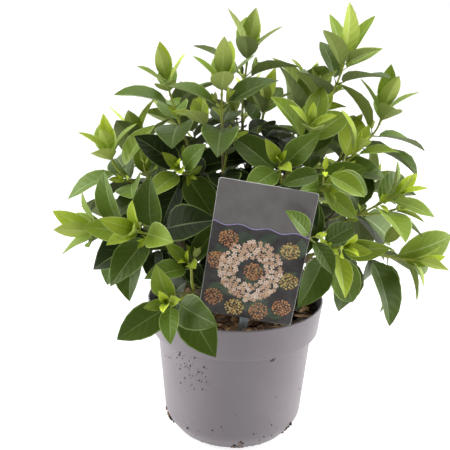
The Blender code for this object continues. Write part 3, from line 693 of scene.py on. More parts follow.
def tip_sides(path):
    """The side vectors of a shoot, carried down from its tip, where they lie across the front view."""
    across_view = np.cross(path_ways(path)[-1], (0, 1, 0)) + np.array((0.02, 0, 0))
    return carried_sides(path[::-1], unit(across_view))[::-1]


def side_twig(stem, degrees, length):
    """A leafy side twig, turned round the stem by an angle and rising to its tip."""
    point, way, side = stem
    twig_way = unit(way + TWIG_SPREAD * turned(side, way, math.radians(degrees)))
    end = point + length * unit(twig_way + TWIG_RISE)
    return smooth_path(point, twig_way, end, unit(twig_way + TWIG_TIP_RISE), TWIG_POINTS)


def twig_leaves(twig, turn, droop, chance):
    """The leaf pairs of a side twig."""
    sides = carried_sides(twig, unit(np.cross(path_ways(twig)[0], (0, 1, 0.1))))
    leaves = []
    for pair, (place, share) in enumerate(zip(TWIG_PAIR_PLACES, TWIG_LEAF_SHARES)):
        foot = point_on(twig, sides, place * MM)
        leaves += pair_leaves(foot, pair, turn + 90 * pair, share, droop, chance)
    return leaves


def shoot_plan(name, path):
    """The side twigs, leaf choices and pair places of one shoot, drawn from its own seed."""
    chance = random.Random("laurustinus " + name)
    _, _, _, turn, droop, flush = SHOOTS[name]
    sides = tip_sides(path)
    length = path_lengths(path)[-1]
    vigour = chance.uniform(*SHOOT_VIGOUR)
    twigs, leaves, places = [], [], []
    for pair, place in enumerate(PAIR_PLACES):
        from_tip = place * MM * vigour
        has_twig, twig_half = chance.random() < TWIG_CHANCE, chance.choice((0, 180))
        twig_length = TWIG_LENGTH * chance.uniform(*TWIG_SIZES)
        if length - from_tip < BARE_FOOT:
            break
        places.append(from_tip)
        stem = point_on(path, sides, from_tip)
        pair_turn = turn + 90 * pair
        share = max(LEAF_SHARES[pair], flush) * vigour
        leaves += pair_leaves(stem, pair, pair_turn, share, droop, chance)
        if pair >= TWIG_FIRST_PAIR and has_twig:
            twig = side_twig(stem, pair_turn + twig_half + TWIG_TURN, twig_length)
            twigs.append(twig)
            leaves += twig_leaves(twig, turn, droop, chance)
    return twigs, leaves, places


def settled(choices, others, own):
    """The first choice that touches nothing and keeps off the ground, with its trees, or None. Its
    whole length counts against other limbs, and only its blade against its own."""
    for leaf in choices:
        middle, tip = blade_line(leaf, 0.5)[0], blade_line(leaf, 1.0)[0]
        if tip[2] < LOWEST_LEAF_Z:
            continue
        whole, blade = (touch_tree(leaf_sections(leaf, GAP, share)) for share in TOUCHING_FROM)
        if any(whole.overlap(other) for other in others):
            continue
        if any(blade.overlap(other) for other in own):
            continue
        return {"leaf": leaf, "middle": middle, "whole": whole, "blade": blade}
    return None


def stem_radius_at(z):
    """The main stem's radius at a height, above its flare: an even taper."""
    share = np.clip((z - STEM_FOOT[2]) / (STEM_TOP[2] - STEM_FOOT[2]), 0, 1)
    return STEM_FOOT_RADIUS + (STEM_TOP_RADIUS - STEM_FOOT_RADIUS) * share


def main_stem_path(count=STEM_POINTS):
    """Points along the main stem, which stands upright at its foot and leans to its top."""
    lean = unit(STEM_TOP - STEM_FOOT)
    return smooth_path(STEM_FOOT, (0, 0, 1), STEM_TOP, lean, count)


def bough_line(name):
    """Start, first way, tip and last way of a bough, which leaves the main stem's surface."""
    leave_z, tip = BOUGHS[name]
    tip = np.array(tip) * CM
    stem = main_stem_path()
    axis = np.array([np.interp(leave_z * CM, stem[:, 2], stem[:, k]) for k in range(3)])
    if axis[2] >= STEM_TOP[2] - MM:
        root_way = unit(tip - STEM_TOP)
        return STEM_TOP + root_way * 3 * GAP, root_way, tip, unit(tip - STEM_TOP)
    level = unit((tip - axis) * (1, 1, 0))
    rise = unit(tip - axis)[2]
    root_way = unit(level + np.array((0, 0, BOUGH_RISE + BOUGH_RISE_GAIN * rise)))
    clear = stem_radius_at(axis[2]) + GAP + BOUGH_ROOT_RADIUS * root_way[2]
    end_way = unit(unit(tip - axis) + (0, 0, BOUGH_RISE))
    return axis + level * clear, root_way, tip, end_way


def fork_roots(tip, way, aims):
    """Where the shoots on one bough's tip start: spread evenly round it, each on the side it heads for."""
    side = unit(np.cross(way, (0.2, 1.0, 0.1)))
    up = np.cross(way, side)
    turns = [math.atan2(np.dot(aim - tip, up), np.dot(aim - tip, side)) for aim in aims]
    order = sorted(range(len(aims)), key=turns.__getitem__)
    step = math.tau / len(aims)
    middle = sum(turns[i] - step * rank for rank, i in enumerate(order)) / len(aims)
    roots = {}
    for rank, i in enumerate(order):
        turn = middle + step * rank
        out = math.cos(turn) * side + math.sin(turn) * up
        root_way = unit(way + FORK_OUT * out + FORK_AIM * unit(aims[i] - tip))
        lean = math.sqrt(max(0, 1 - np.dot(root_way, way) ** 2))
        roots[i] = (tip + way * (GAP + SHOOT_ROOT_RADIUS * lean) + out * FORK_SPREAD, root_way)
    return roots


def shoot_lines():
    """Start, first way, tip and last way of each shoot's stem."""
    lines = {}
    for bough in BOUGHS:
        names = [name for name, row in SHOOTS.items() if row[0] == bough]
        path = smooth_path(*bough_line(bough), BOUGH_POINTS)
        tip, way = path[-1], path_ways(path)[-1]
        aims = [np.array(SHOOTS[name][1]) * CM for name in names]
        roots = fork_roots(tip, way, aims)
        for i, name in enumerate(names):
            lines[name] = (*roots[i], aims[i], unit(SHOOTS[name][2]))
    return lines


class Crown:
    """The leaves that found free space, limb by limb, with the trees that keep others off them."""

    def __init__(self, limb_trees):
        self.limb_trees = limb_trees
        self.lines = shoot_lines()
        self.paths = {name: smooth_path(*line, SHOOT_POINTS) for name, line in self.lines.items()}
        self.plans = {name: shoot_plan(name, path) for name, path in self.paths.items()}
        self.kept = {name: [] for name in (*self.paths, *BOUGHS)}
        self.stems = {name: [] for name in self.kept}
        self.finer = []
        self.buds = []
        for name, path in self.paths.items():
            clear = SHOOT_TIP_RADIUS + GAP
            self.stems[name] = [stem_tree(path, SHOOT_ROOT_RADIUS + GAP, clear)]
            self.stems[name] += [stem_tree(twig, clear, clear) for twig in self.plans[name][0]]

    def leaves(self):
        """All the kept leaves, and the buds."""
        return [row["leaf"] for rows in self.kept.values() for row in rows] + self.buds

    def settle(self, name, choices):
        """Keeps the first of the choices that has free space."""
        middle = blade_line(choices[0], 0.5)[0]
        others, own = list(self.limb_trees), list(self.stems[name])
        for other, rows in self.kept.items():
            near = [row for row in rows if np.linalg.norm(row["middle"] - middle) < NEAR_LEAVES]
            if other == name:
                own += [row["blade"] for row in near]
            else:
                others += self.stems[other] + [row["whole"] for row in near]
        found = settled(choices, others, own)
        if found:
            self.kept[name].append(found)

    def grow_leaves(self):
        """Goes down all the shoots together from their tips, as the solids do."""
        for rank in range(max(len(leaves) for _, leaves, _ in self.plans.values())):
            for name, (_, leaves, _) in self.plans.items():
                if rank < len(leaves):
                    self.settle(name, leaves[rank])

    def grow_buds(self):
        """Two leaflets, folded upright, on every growing tip."""
        for name, path in self.paths.items():
            chance = random.Random("buds of " + name)
            turn = SHOOTS[name][3] + 90
            for foot in (path, *self.plans[name][0]):
                stem = point_on(foot, tip_sides(foot), BUD_PLACE)
                self.buds += [choices[0] for choices in pair_leaves(stem, 0, turn, BUD_SHARE, 0, chance)]

    def grow_sprigs(self):
        """Short sprigs of leaflets in the axils of the older pairs."""
        for name, path in self.paths.items():
            chance = random.Random("sprigs of " + name)
            sides, turn = tip_sides(path), SHOOTS[name][3]
            for pair, from_tip in enumerate(self.plans[name][2][SPRIG_FIRST_PAIR:], SPRIG_FIRST_PAIR):
                for half_turn in (0, 180):
                    wanted, size = chance.random() < SPRIG_CHANCE, chance.uniform(*SPRIG_SIZES)
                    degrees = turn + 90 * pair + half_turn + chance.uniform(-12, 12)
                    if wanted:
                        stem = point_on(path, sides, from_tip - SPRIG_ABOVE_PAIR)
                        sprig = branch_path(stem, degrees, SPRIG_LENGTH * size)
                        pairs = [(place * MM, rank, share * size) for place, rank, share in SPRIG_PAIRS]
                        self.branch(name, sprig, SPRIG_RADIUS, pairs, BRANCH_TURN, 0, chance)

    def grow_inner_twigs(self):
        """Twigs with old leaves on the boughs, which close the middle of the crown."""
        for name in BOUGHS:
            chance = random.Random("inner twigs of " + name)
            path = smooth_path(*bough_line(name), STEM_RINGS)
            sides, length = tip_sides(path), path_lengths(path)[-1]
            for rank in range(INNER_TWIGS):
                from_tip = length * (rank + chance.uniform(0.2, 0.8)) / INNER_TWIGS * INNER_SHARE
                stem = point_on(path, sides, from_tip)
                twig_length = INNER_TWIG_LENGTH * chance.uniform(0.7, 1.3)
                twig = branch_path(stem, INNER_TURN * rank + chance.uniform(-20, 20), twig_length)
                size = chance.uniform(0.85, 1.15)
                pairs = [(place * twig_length, pair, share * size) for place, pair, share in INNER_PAIRS]
                self.branch(name, twig, TWIG_RADIUS, pairs, BRANCH_TURN, 0, chance, INNER_REACH)

    def grow_front_twigs(self):
        """The twigs whose leaves pass before the label and close gaps of the crown's front."""
        for name, share, tip, way, turn, droop in FRONT_TWIGS:
            chance = random.Random("front twig of " + name)
            limb = self.paths[name] if name in self.paths else smooth_path(*bough_line(name), STEM_RINGS)
            from_tip = (1 - share) * path_lengths(limb)[-1]
            point, limb_way, _ = point_on(limb, tip_sides(limb), from_tip)
            tip = np.array(tip) * CM
            start_way = unit(limb_way + unit(tip - point))
            twig = smooth_path(point, start_way, tip, unit(way), FRONT_TWIG_POINTS)
            pairs = [(place * MM, pair, share) for place, pair, share in FRONT_PAIRS]
            self.branch(name, twig, TWIG_RADIUS, pairs, turn, droop, chance)

    def branch(self, name, path, radius, pairs, turn, droop, chance, reach=math.inf):
        """A finer branch of a limb, with pairs of leaves on it that keep within a reach of the middle."""
        before = len(self.kept[name])
        for rank, (place, pair, share) in enumerate(pairs):
            foot = point_on(path, tip_sides(path), place)
            for choices in pair_leaves(foot, pair, turn + 90 * rank, share, droop, chance):
                tip = blade_line(choices[0], 1.0)[0]
                if np.hypot(*tip[:2]) < reach and (reach == math.inf or tip[1] > INNER_FRONT):
                    self.settle(name, choices)
        if len(self.kept[name]) > before:
            self.finer.append((path, radius))


def branch_path(stem, degrees, length):
    """A short branch from a stem's point, turned round the stem by an angle."""
    point, way, side = stem
    out = turned(side, way, math.radians(degrees))
    branch_way = unit(way + BRANCH_SPREAD * out)
    end = point + length * unit(branch_way + BRANCH_RISE)
    return smooth_path(point, branch_way, end, unit(branch_way + way), BRANCH_POINTS)


@functools.lru_cache(maxsize=1)
def grown_crown():
    """The whole crown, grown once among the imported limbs, pot, soil and label."""
    trees = []
    for name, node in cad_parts.items():
        if not name.startswith("shoot_"):
            corners = [vertex.co[:] for vertex in node.data.vertices]
            faces = [face.vertices[:] for face in node.data.polygons]
            trees.append(BVHTree.FromPolygons(corners, faces))
    crown = Crown(trees)
    crown.grow_leaves()
    crown.grow_buds()
    crown.grow_front_twigs()
    crown.grow_inner_twigs()
    crown.grow_sprigs()
    if len(crown.leaves()) < FEWEST_LEAVES:
        raise RuntimeError("too few leaves found free space among the packed limbs")
    return crown


# Meshes from arrays


class Skin:
    """Vertices, faces, finishes and surface coordinates of one piece, gathered as arrays."""

    def __init__(self):
        self.vertices, self.faces, self.finishes, self.places = [], [], [], []
        self.count = 0

    def add(self, vertices, faces, finish=0, places=None):
        """Adds one surface. A finish is one number for all its faces, or a number for each."""
        vertices = np.reshape(vertices, (-1, 3))
        self.add_faces(faces, finish, self.count)
        self.vertices.append(vertices)
        self.places.append(np.zeros((len(vertices), 2)) if places is None else np.reshape(places, (-1, 2)))
        self.count += len(vertices)

    def add_faces(self, faces, finish=0, start=0):
        """Adds faces whose corners are counted from a start among the vertices."""
        self.faces += [[index + start for index in face] for face in np.asarray(faces).tolist()]
        self.finishes.append(np.broadcast_to(finish, len(faces)))

    def build(self, name, materials, slot, smooth=True):
        """The mesh object, riding with the plant."""
        mesh = bpy.data.meshes.new(name)
        mesh.from_pydata(np.concatenate(self.vertices).tolist(), [], self.faces)
        used, finish_of_face = np.unique(np.concatenate(self.finishes), return_inverse=True)
        for finish in used:
            mesh.materials.append(materials[finish])
        mesh.polygons.foreach_set("material_index", finish_of_face.astype(np.int32))
        mesh.polygons.foreach_set("use_smooth", np.full(len(mesh.polygons), smooth))
        corners = np.zeros(len(mesh.loops), np.int32)
        mesh.loops.foreach_get("vertex_index", corners)
        layer = mesh.uv_layers.new(name="surface")
        layer.data.foreach_set("uv", np.concatenate(self.places)[corners].astype(np.float32).ravel())
        mesh.validate()
        mesh.set_sharp_from_angle(angle=SHARP_EDGE)
        return placed(name, mesh)


def linked(name, data):
    """A new object, linked to the scene."""
    made = bpy.data.objects.new(name, data)
    bpy.context.scene.collection.objects.link(made)
    return made


def placed(name, mesh):
    """A finished piece, riding with the plant."""
    made = linked(name, mesh)
    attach(made, "root")
    return made


def grid_faces(rows, columns, closed):
    """Quads between neighbouring rows and columns of a grid, whose last column may join its first."""
    row = np.arange(rows - 1)[:, None] * columns
    column = np.arange(columns if closed else columns - 1)[None, :]
    following = (column + 1) % columns
    above = row + columns
    return np.stack((row + column, row + following, above + following, above + column), -1).reshape(-1, 4)


def swept(path, radii, sides, relief=None):
    """A round profile carried along a path. Point (i, k) is path point i plus its radius times
    the circle point k of its side and up vectors, with the relief added to the radius."""
    ways = path_ways(path)
    side = carried_sides(path, unit(np.cross(ways[0], ODD_WAY)))[:, None]
    up = np.cross(ways, side[:, 0])[:, None]
    turn = even_turns(sides)[None, :, None]
    radius = np.broadcast_to(np.reshape(radii, (-1, 1, 1)), (len(path), sides, 1))
    if relief is not None:
        radius = radius + relief(path_lengths(path)[:, None], turn[..., 0])[..., None]
    return path[:, None] + radius * (np.cos(turn) * side + np.sin(turn) * up)


def add_swept(skin, path, radii, sides, finish=0, relief=None):
    """Adds a swept limb with closed ends. A finish may be given for each ring."""
    rings = swept(path, radii, sides, relief)
    rows = len(path)
    along = path_lengths(path)[:, None] / SURFACE_LENGTH + np.zeros((1, sides))
    places = np.stack((np.broadcast_to(np.linspace(0, 1, sides), (rows, sides)), along), -1)
    if np.ndim(finish):
        finish = np.repeat(np.asarray(finish)[: rows - 1], sides)
    start = skin.count
    skin.add(rings, grid_faces(rows, sides, True), finish, places)
    ends = (range(sides)[::-1], range((rows - 1) * sides, rows * sides))
    skin.add_faces(ends, np.ravel(finish)[[0, -1]], start)


def turned_skin(profile, steps):
    """A profile of (radius, height) turned about Z. Point (i, k) has radius i at k steps round,
    and the first and last points, on the axis, are single vertices."""
    turn = even_turns(steps)[None, :]
    radius, height = profile[1:-1, :1], profile[1:-1, 1:]
    rings = np.stack((radius * np.cos(turn), radius * np.sin(turn), height + 0 * turn), -1)
    poles = np.array(((0, 0, profile[0, 1]), (0, 0, profile[-1, 1])))
    rows = len(profile) - 2
    first, last = rows * steps, rows * steps + 1
    k = np.arange(steps)
    following = (k + 1) % steps
    end = (rows - 1) * steps
    start_fan = np.stack((k, np.full(steps, first), following), -1)
    end_fan = np.stack((end + k, end + following, np.full(steps, last)), -1)
    skin = Skin()
    skin.add(np.concatenate((rings.reshape(-1, 3), poles)), grid_faces(rows, steps, True))
    skin.add_faces(np.concatenate((start_fan, end_fan)))
    return skin


def rounded_line(corners):
    """A line through corners of (radius, height, rounding), each corner turned by a quadratic curve."""
    points = []
    for i, (radius, height, rounding) in enumerate(corners):
        here = np.array((radius, height))
        if rounding == 0 or i in (0, len(corners) - 1):
            points.append(here)
            continue
        before, after = (np.array(corners[j][:2]) - here for j in (i - 1, i + 1))
        start = here + unit(before) * min(rounding, 0.45 * np.linalg.norm(before))
        end = here + unit(after) * min(rounding, 0.45 * np.linalg.norm(after))
        t = np.linspace(0, 1, BEND_POINTS)[:, None]
        points += list((1 - t) ** 2 * start + 2 * t * (1 - t) * here + t**2 * end)
    return np.array(points)


def fine_line(line, longest):
    """The same line with its long stretches divided."""
    points = [line[0]]
    for start, end in zip(line, line[1:]):
        count = max(1, math.ceil(np.linalg.norm(end - start) / longest))
        points += [start + (end - start) * i / count for i in range(1, count + 1)]
    return np.array(points)


# Materials


def new_group(name, inputs, outputs):
    """A shader node group with the named sockets, and its two ends."""
    tree = bpy.data.node_groups.new(name, "ShaderNodeTree")
    for way, sockets in (("INPUT", inputs), ("OUTPUT", outputs)):
        for socket, kind in sockets.items():
            tree.interface.new_socket(socket, in_out=way, socket_type="NodeSocket" + kind)
    return tree, tree.nodes.new("NodeGroupInput").outputs, tree.nodes.new("NodeGroupOutput").inputs


def add_node(tree, kind, inputs, **settings):
    """A shader node with its settings. Each input is linked from a socket, or set to a value."""
    node = tree.nodes.new("ShaderNode" + kind)
    for key, value in settings.items():
        setattr(node, key, value)
    for socket, value in inputs.items():
        if isinstance(value, bpy.types.NodeSocket):
            tree.links.new(value, node.inputs[socket])
        else:
            node.inputs[socket].default_value = value
    return node.outputs


def math_output(tree, operation, first, second=0.5):
    """The output of a Math node on two values."""
    return add_node(tree, "Math", {0: first, 1: second}, operation=operation)[0]


def put_out_normal(tree, end, height, depth):
    """Puts out the normal of a surface with the given height."""
    bump = add_node(tree, "Bump", {"Height": height, "Distance": depth, "Strength": 1})
    tree.links.new(bump["Normal"], end["Normal"])


def mixed_colour(tree, share, first, second):
    """The output of a node that mixes two colours."""
    return add_node(tree, "Mix", {0: share, 6: first, 7: second}, data_type="RGBA")[2]


@functools.lru_cache(maxsize=None)
def mottle_group():
    """Two colours mixed by a soft noise on Object coordinates."""
    inputs = {"Colour": "Color", "Second Colour": "Color", "Scale": "Float"}
    tree, start, end = new_group("mottle", inputs, {"Colour": "Color"})
    place = add_node(tree, "TexCoord", {})["Object"]
    noise = add_node(tree, "TexNoise", {"Vector": place, "Scale": start["Scale"], "Detail": 5})
    share = add_node(tree, "MapRange", {"Value": noise["Fac"], "From Min": 0.35, "From Max": 0.65})
    colour = mixed_colour(tree, share["Result"], start["Colour"], start["Second Colour"])
    tree.links.new(colour, end["Colour"])
    return tree


@functools.lru_cache(maxsize=None)
def relief_group():
    """A fine uneven surface: noise on Object coordinates, stretched along each axis, as a normal."""
    inputs = {"Scale": "Float", "Stretch": "Vector", "Depth": "Float"}
    tree, start, end = new_group("fine_relief", inputs, {"Normal": "Vector"})
    place = add_node(tree, "TexCoord", {})["Object"]
    stretched = add_node(tree, "VectorMath", {0: place, 1: start["Stretch"]}, operation="MULTIPLY")
    noise = add_node(tree, "TexNoise", {"Vector": stretched[0], "Scale": start["Scale"], "Detail": 6})
    put_out_normal(tree, end, noise["Fac"], start["Depth"])
    return tree


@functools.lru_cache(maxsize=None)
def vein_group():
    """The quilting between a leaf's side veins: waves of the length share less part of the distance
    from the rib, so that they run forward to the margin, as a normal."""
    tree, start, end = new_group("leaf_quilting", {"Veins": "Float", "Depth": "Float"}, {"Normal": "Vector"})
    place = add_node(tree, "UVMap", {}, uv_map="surface")
    along, across, _ = add_node(tree, "SeparateXYZ", {0: place[0]})
    from_rib = math_output(tree, "POWER", math_output(tree, "ABSOLUTE", across), 1.4)
    lagging = math_output(tree, "SUBTRACT", along, math_output(tree, "MULTIPLY", from_rib, 0.22))
    turns = math_output(tree, "MULTIPLY", math_output(tree, "MULTIPLY", lagging, start["Veins"]), math.tau)
    put_out_normal(tree, end, math_output(tree, "COSINE", turns), start["Depth"])
    return tree


SOCKETS = {
    "specular": "Specular IOR Level",
    "transmission": "Transmission Weight",
    "ior": "IOR",
    "glow_colour": "Emission Color",
    "glow": "Emission Strength",
}


def plain_material(name, colour, roughness, **shader_values):
    """A Principled material with constant values, set on the shader's own sockets."""
    made = bpy.data.materials.new(name)
    made.use_nodes = True
    shader = made.node_tree.nodes["Principled BSDF"]
    shader.inputs["Base Color"].default_value = (*colour, 1)
    shader.inputs["Roughness"].default_value = roughness
    for key, value in shader_values.items():
        shader.inputs[SOCKETS[key]].default_value = value
    return made


def feed(made, socket, group, **values):
    """Feeds one of the shader's sockets from a node group with its values."""
    node = made.node_tree.nodes.new("ShaderNodeGroup")
    node.node_tree = group
    for key, value in values.items():
        node.inputs[key.replace("_", " ").title()].default_value = value
    shader = made.node_tree.nodes["Principled BSDF"]
    made.node_tree.links.new(node.outputs[0], shader.inputs[socket])


def uneven_material(name, colour, second, roughness, scale, depth, stretch=(1, 1, 1), **shader_values):
    """A material of two mottled colours on a finely uneven surface."""
    made = plain_material(name, colour, roughness, **shader_values)
    colours = {"colour": (*colour, 1), "second_colour": (*second, 1)}
    feed(made, "Base Color", mottle_group(), scale=scale, **colours)
    feed(made, "Normal", relief_group(), scale=3 * scale, stretch=stretch, depth=depth)
    return made


def toned_materials(name, first, second, tones, step, **finish):
    """Numbered materials of tones between two colours, each mottled with a tone a step further."""
    pairs = [(mixed(first, second, tone), mixed(first, second, min(1, tone + step))) for tone in tones]
    return [uneven_material(f"{name}_{i}", *colours, **finish) for i, colours in enumerate(pairs)]


def leaf_material(name, colour, roughness, depth, **shader_values):
    """A leaf surface: one plain colour, quilted between its side veins."""
    made = plain_material(name, colour, roughness, **shader_values)
    feed(made, "Normal", vein_group(), veins=QUILTING_VEINS, depth=depth)
    return made


def mixed(first, second, share):
    """Two colours mixed, with a share of the second."""
    return tuple(np.array(first) * (1 - share) + np.array(second) * share)


# Pot, soil, crumbs


def pot_line():
    """The pot's wall in section, from the inner floor's centre round the rim to the underside's
    centre. Each corner has its radius, its height and how far back its rounding starts."""
    step_in = COLLAR_FOOT_Z + POT_WALL
    corners = (
        (0, POT_FLOOR, 0),
        (FOOT_RADIUS - POT_WALL, POT_FLOOR, 2 * MM),
        (BODY_FOOT_RADIUS - POT_WALL, BODY_FOOT_Z, 2 * MM),
        (BODY_TOP_RADIUS - POT_WALL, step_in, MM),
        (COLLAR_FOOT_RADIUS - POT_WALL, step_in + MM, MM),
        (RIM_RADIUS - POT_WALL, POT_HEIGHT - RIM_BEAD, 0.6 * MM),
        (RIM_RADIUS - POT_WALL / 2, POT_HEIGHT, 0.6 * MM),
        (RIM_RADIUS + RIM_BEAD / 2, POT_HEIGHT - RIM_BEAD, 0.7 * MM),
        (RIM_RADIUS, POT_HEIGHT - 3 * RIM_BEAD, MM),
        (COLLAR_FOOT_RADIUS, COLLAR_FOOT_Z + MM, 0.5 * MM),
        (COLLAR_FOOT_RADIUS - 0.8 * MM, COLLAR_FOOT_Z, 0.5 * MM),
        (BODY_TOP_RADIUS, COLLAR_FOOT_Z - MM, 1.2 * MM),
        (BODY_FOOT_RADIUS, BODY_FOOT_Z, 5 * MM),
        (FOOT_RADIUS + MM, 0.5 * MM, MM),
        (FOOT_RADIUS - MM, 0, 0.5 * MM),
        (0, 0, 0),
    )
    return fine_line(rounded_line(corners), WALL_STEP)


def wall_radius(z):
    """The pot's outer radius at a height, straight between the corners of its wall."""
    heights = (0, BODY_FOOT_Z, COLLAR_FOOT_Z - MM, COLLAR_FOOT_Z, POT_HEIGHT)
    radii = (FOOT_RADIUS, BODY_FOOT_RADIUS, BODY_TOP_RADIUS, COLLAR_FOOT_RADIUS, RIM_RADIUS)
    return np.interp(z, heights, radii)


def cut_holes(pot):
    """Cuts the drain holes through the pot's floor with a ring of short round pegs."""
    skin = Skin()
    for i in range(DRAIN_HOLES):
        turn = math.tau * (i + 0.5) / DRAIN_HOLES
        x, y = DRAIN_RING_RADIUS * math.cos(turn), DRAIN_RING_RADIUS * math.sin(turn)
        path = np.array([(x, y, z * MM) for z in (-6, 0, 6)])
        add_swept(skin, path, np.full(3, DRAIN_HOLE_RADIUS), DRAIN_HOLE_SIDES)
    mesh = bpy.data.meshes.new("drain pegs")
    mesh.from_pydata(np.concatenate(skin.vertices).tolist(), [], skin.faces)
    cutter = linked("drain pegs", mesh)
    cut = pot.modifiers.new("drain holes", "BOOLEAN")
    cut.object = cutter
    cut.solver = "EXACT"
    bpy.context.view_layer.update()
    done = bpy.data.meshes.new_from_object(pot.evaluated_get(bpy.context.evaluated_depsgraph_get()))
    pot.modifiers.clear()
    pot.data = done
    bpy.data.objects.remove(cutter)


def pot_material(settings):
    """Matt moulded plastic with a faint cloudiness, and dried soil in specks towards the foot."""
    cloudy = mixed(settings.wall, (1, 1, 1), 0.02)
    made = uneven_material("pot_plastic", settings.wall, cloudy, roughness=0.42, scale=22, depth=0.03 * MM)
    tree = made.node_tree
    shader = tree.nodes["Principled BSDF"]
    place = add_node(tree, "TexCoord", {})["Object"]
    noise = add_node(tree, "TexNoise", {"Vector": place, "Scale": 420, "Detail": 2})["Fac"]
    specks = add_node(tree, "MapRange", {"Value": noise, "From Min": 0.7, "From Max": 0.76})[0]
    height = add_node(tree, "SeparateXYZ", {0: place})["Z"]
    heights = {"Value": height, "From Min": 0.06, "From Max": 0, "To Min": 0.25, "To Max": 1}
    low = add_node(tree, "MapRange", heights)[0]
    clean = shader.inputs["Base Color"].links[0].from_socket
    dusty = mixed_colour(tree, math_output(tree, "MULTIPLY", specks, low), clean, (*settings.dust, 1))
    tree.links.new(dusty, shader.inputs["Base Color"])
    return made


class LAURUSTINUS_OT_turn_pot(bpy.types.Operator):
    """Turn the pot's wall, with its rim, collar, rounded foot and drain holes"""

    bl_idname = "laurustinus.turn_pot"
    bl_label = "Turn pot"

    def execute(self, context):
        skin = turned_skin(pot_line(), POT_STEPS)
        pot = skin.build("pot_wall", [pot_material(context.scene.laurustinus_pot)], "pot_grey")
        cut_holes(pot)
        pot.data.polygons.foreach_set("use_smooth", np.ones(len(pot.data.polygons), bool))
        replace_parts(pot, "pot")
        return {"FINISHED"}


def soil_height(x, y):
    """The soil's top: dished by a sine of the radius, with two overlapping waves for lumps."""
    radius = np.hypot(x, y)
    dish = SOIL_DISHING * np.sin(np.clip(radius / RIM_RADIUS, 0, 1) * math.pi)
    lumps = np.sin(310 * x + 2) * np.sin(270 * y) + 0.6 * np.sin(690 * x + 5 * y + 1) * np.sin(640 * y - 2)
    return SOIL_TOP - dish + LUMP_HEIGHT * lumps - LUMP_DROP


def soil_line():
    """The soil in section, just inside the pot's wall."""
    clear = POT_WALL + SOIL_CLEARANCE
    step_in = COLLAR_FOOT_Z + POT_WALL
    wall_top = np.interp(SOIL_TOP, (COLLAR_FOOT_Z, POT_HEIGHT), (COLLAR_FOOT_RADIUS, RIM_RADIUS)) - clear
    top = [(wall_top * i / SOIL_RINGS, SOIL_TOP) for i in range(SOIL_RINGS + 1)]
    below = [
        (COLLAR_FOOT_RADIUS - clear, step_in + 2 * MM),
        (BODY_TOP_RADIUS - clear, step_in + MM),
        (BODY_FOOT_RADIUS - clear, BODY_FOOT_Z + GAP),
        (FOOT_RADIUS - clear, POT_FLOOR + 2 * GAP),
        (0, POT_FLOOR + 2 * GAP),
    ]
    return np.array(top + below)


def turns_about(axes, angles):
    """One rotation matrix for each axis and angle, by Rodrigues' formula."""
    x, y, z = axes.T
    zero = np.zeros_like(x)
    cross = np.stack((zero, -z, y, z, zero, -x, -y, x, zero), -1).reshape(-1, 3, 3)
    sine, cosine = np.sin(angles)[:, None, None], np.cos(angles)[:, None, None]
    return np.eye(3) + sine * cross + (1 - cosine) * cross @ cross


def scatter(name, centres, sizes, matrices, draw, shares, finishes):
    """A piece of six-cornered flakes: a rounded outline above and below, pushed about at random,
    sized, turned, moved and kept above the ground. The finishes are dealt out by their shares."""
    count, corners = len(centres), FLAKE_CORNERS
    ring = directions(even_turns(corners))[0]
    above = np.c_[ring, np.full(corners, 1.0)]
    below = np.c_[ring * FLAKE_UNDERSIDE, np.full(corners, -1.0)]
    push = draw.uniform(-FLAKE_UNEVENNESS, FLAKE_UNEVENNESS, (count, 2 * corners, 3))
    points = np.concatenate((above, below))[None] * (1 + push)
    points = points * sizes[:, None] / 2
    points = np.einsum("nij,nkj->nki", matrices, points) + centres[:, None]
    points[..., 2] = np.maximum(points[..., 2], FLAKE_FLOOR)
    k = np.arange(corners)
    sides = np.stack((k, k + corners, (k + 1) % corners + corners, (k + 1) % corners), -1)
    top = [[0, 1, 2, 3], [0, 3, 4, 5]]
    bottom = [[9, 8, 7, 6], [11, 10, 9, 6]]
    faces = np.concatenate((sides, top, bottom))
    chosen = np.repeat(draw.choice(len(finishes), count, p=shares), len(faces))
    skin = Skin()
    skin.add(points, repeated_faces(faces, count, 2 * corners), chosen)
    skin.build(name, finishes, "soil_brown", smooth=False)


def turned_upright(angles):
    """One rotation matrix about Z for each angle."""
    return turns_about(np.tile((0.0, 0, 1), (len(angles), 1)), angles)


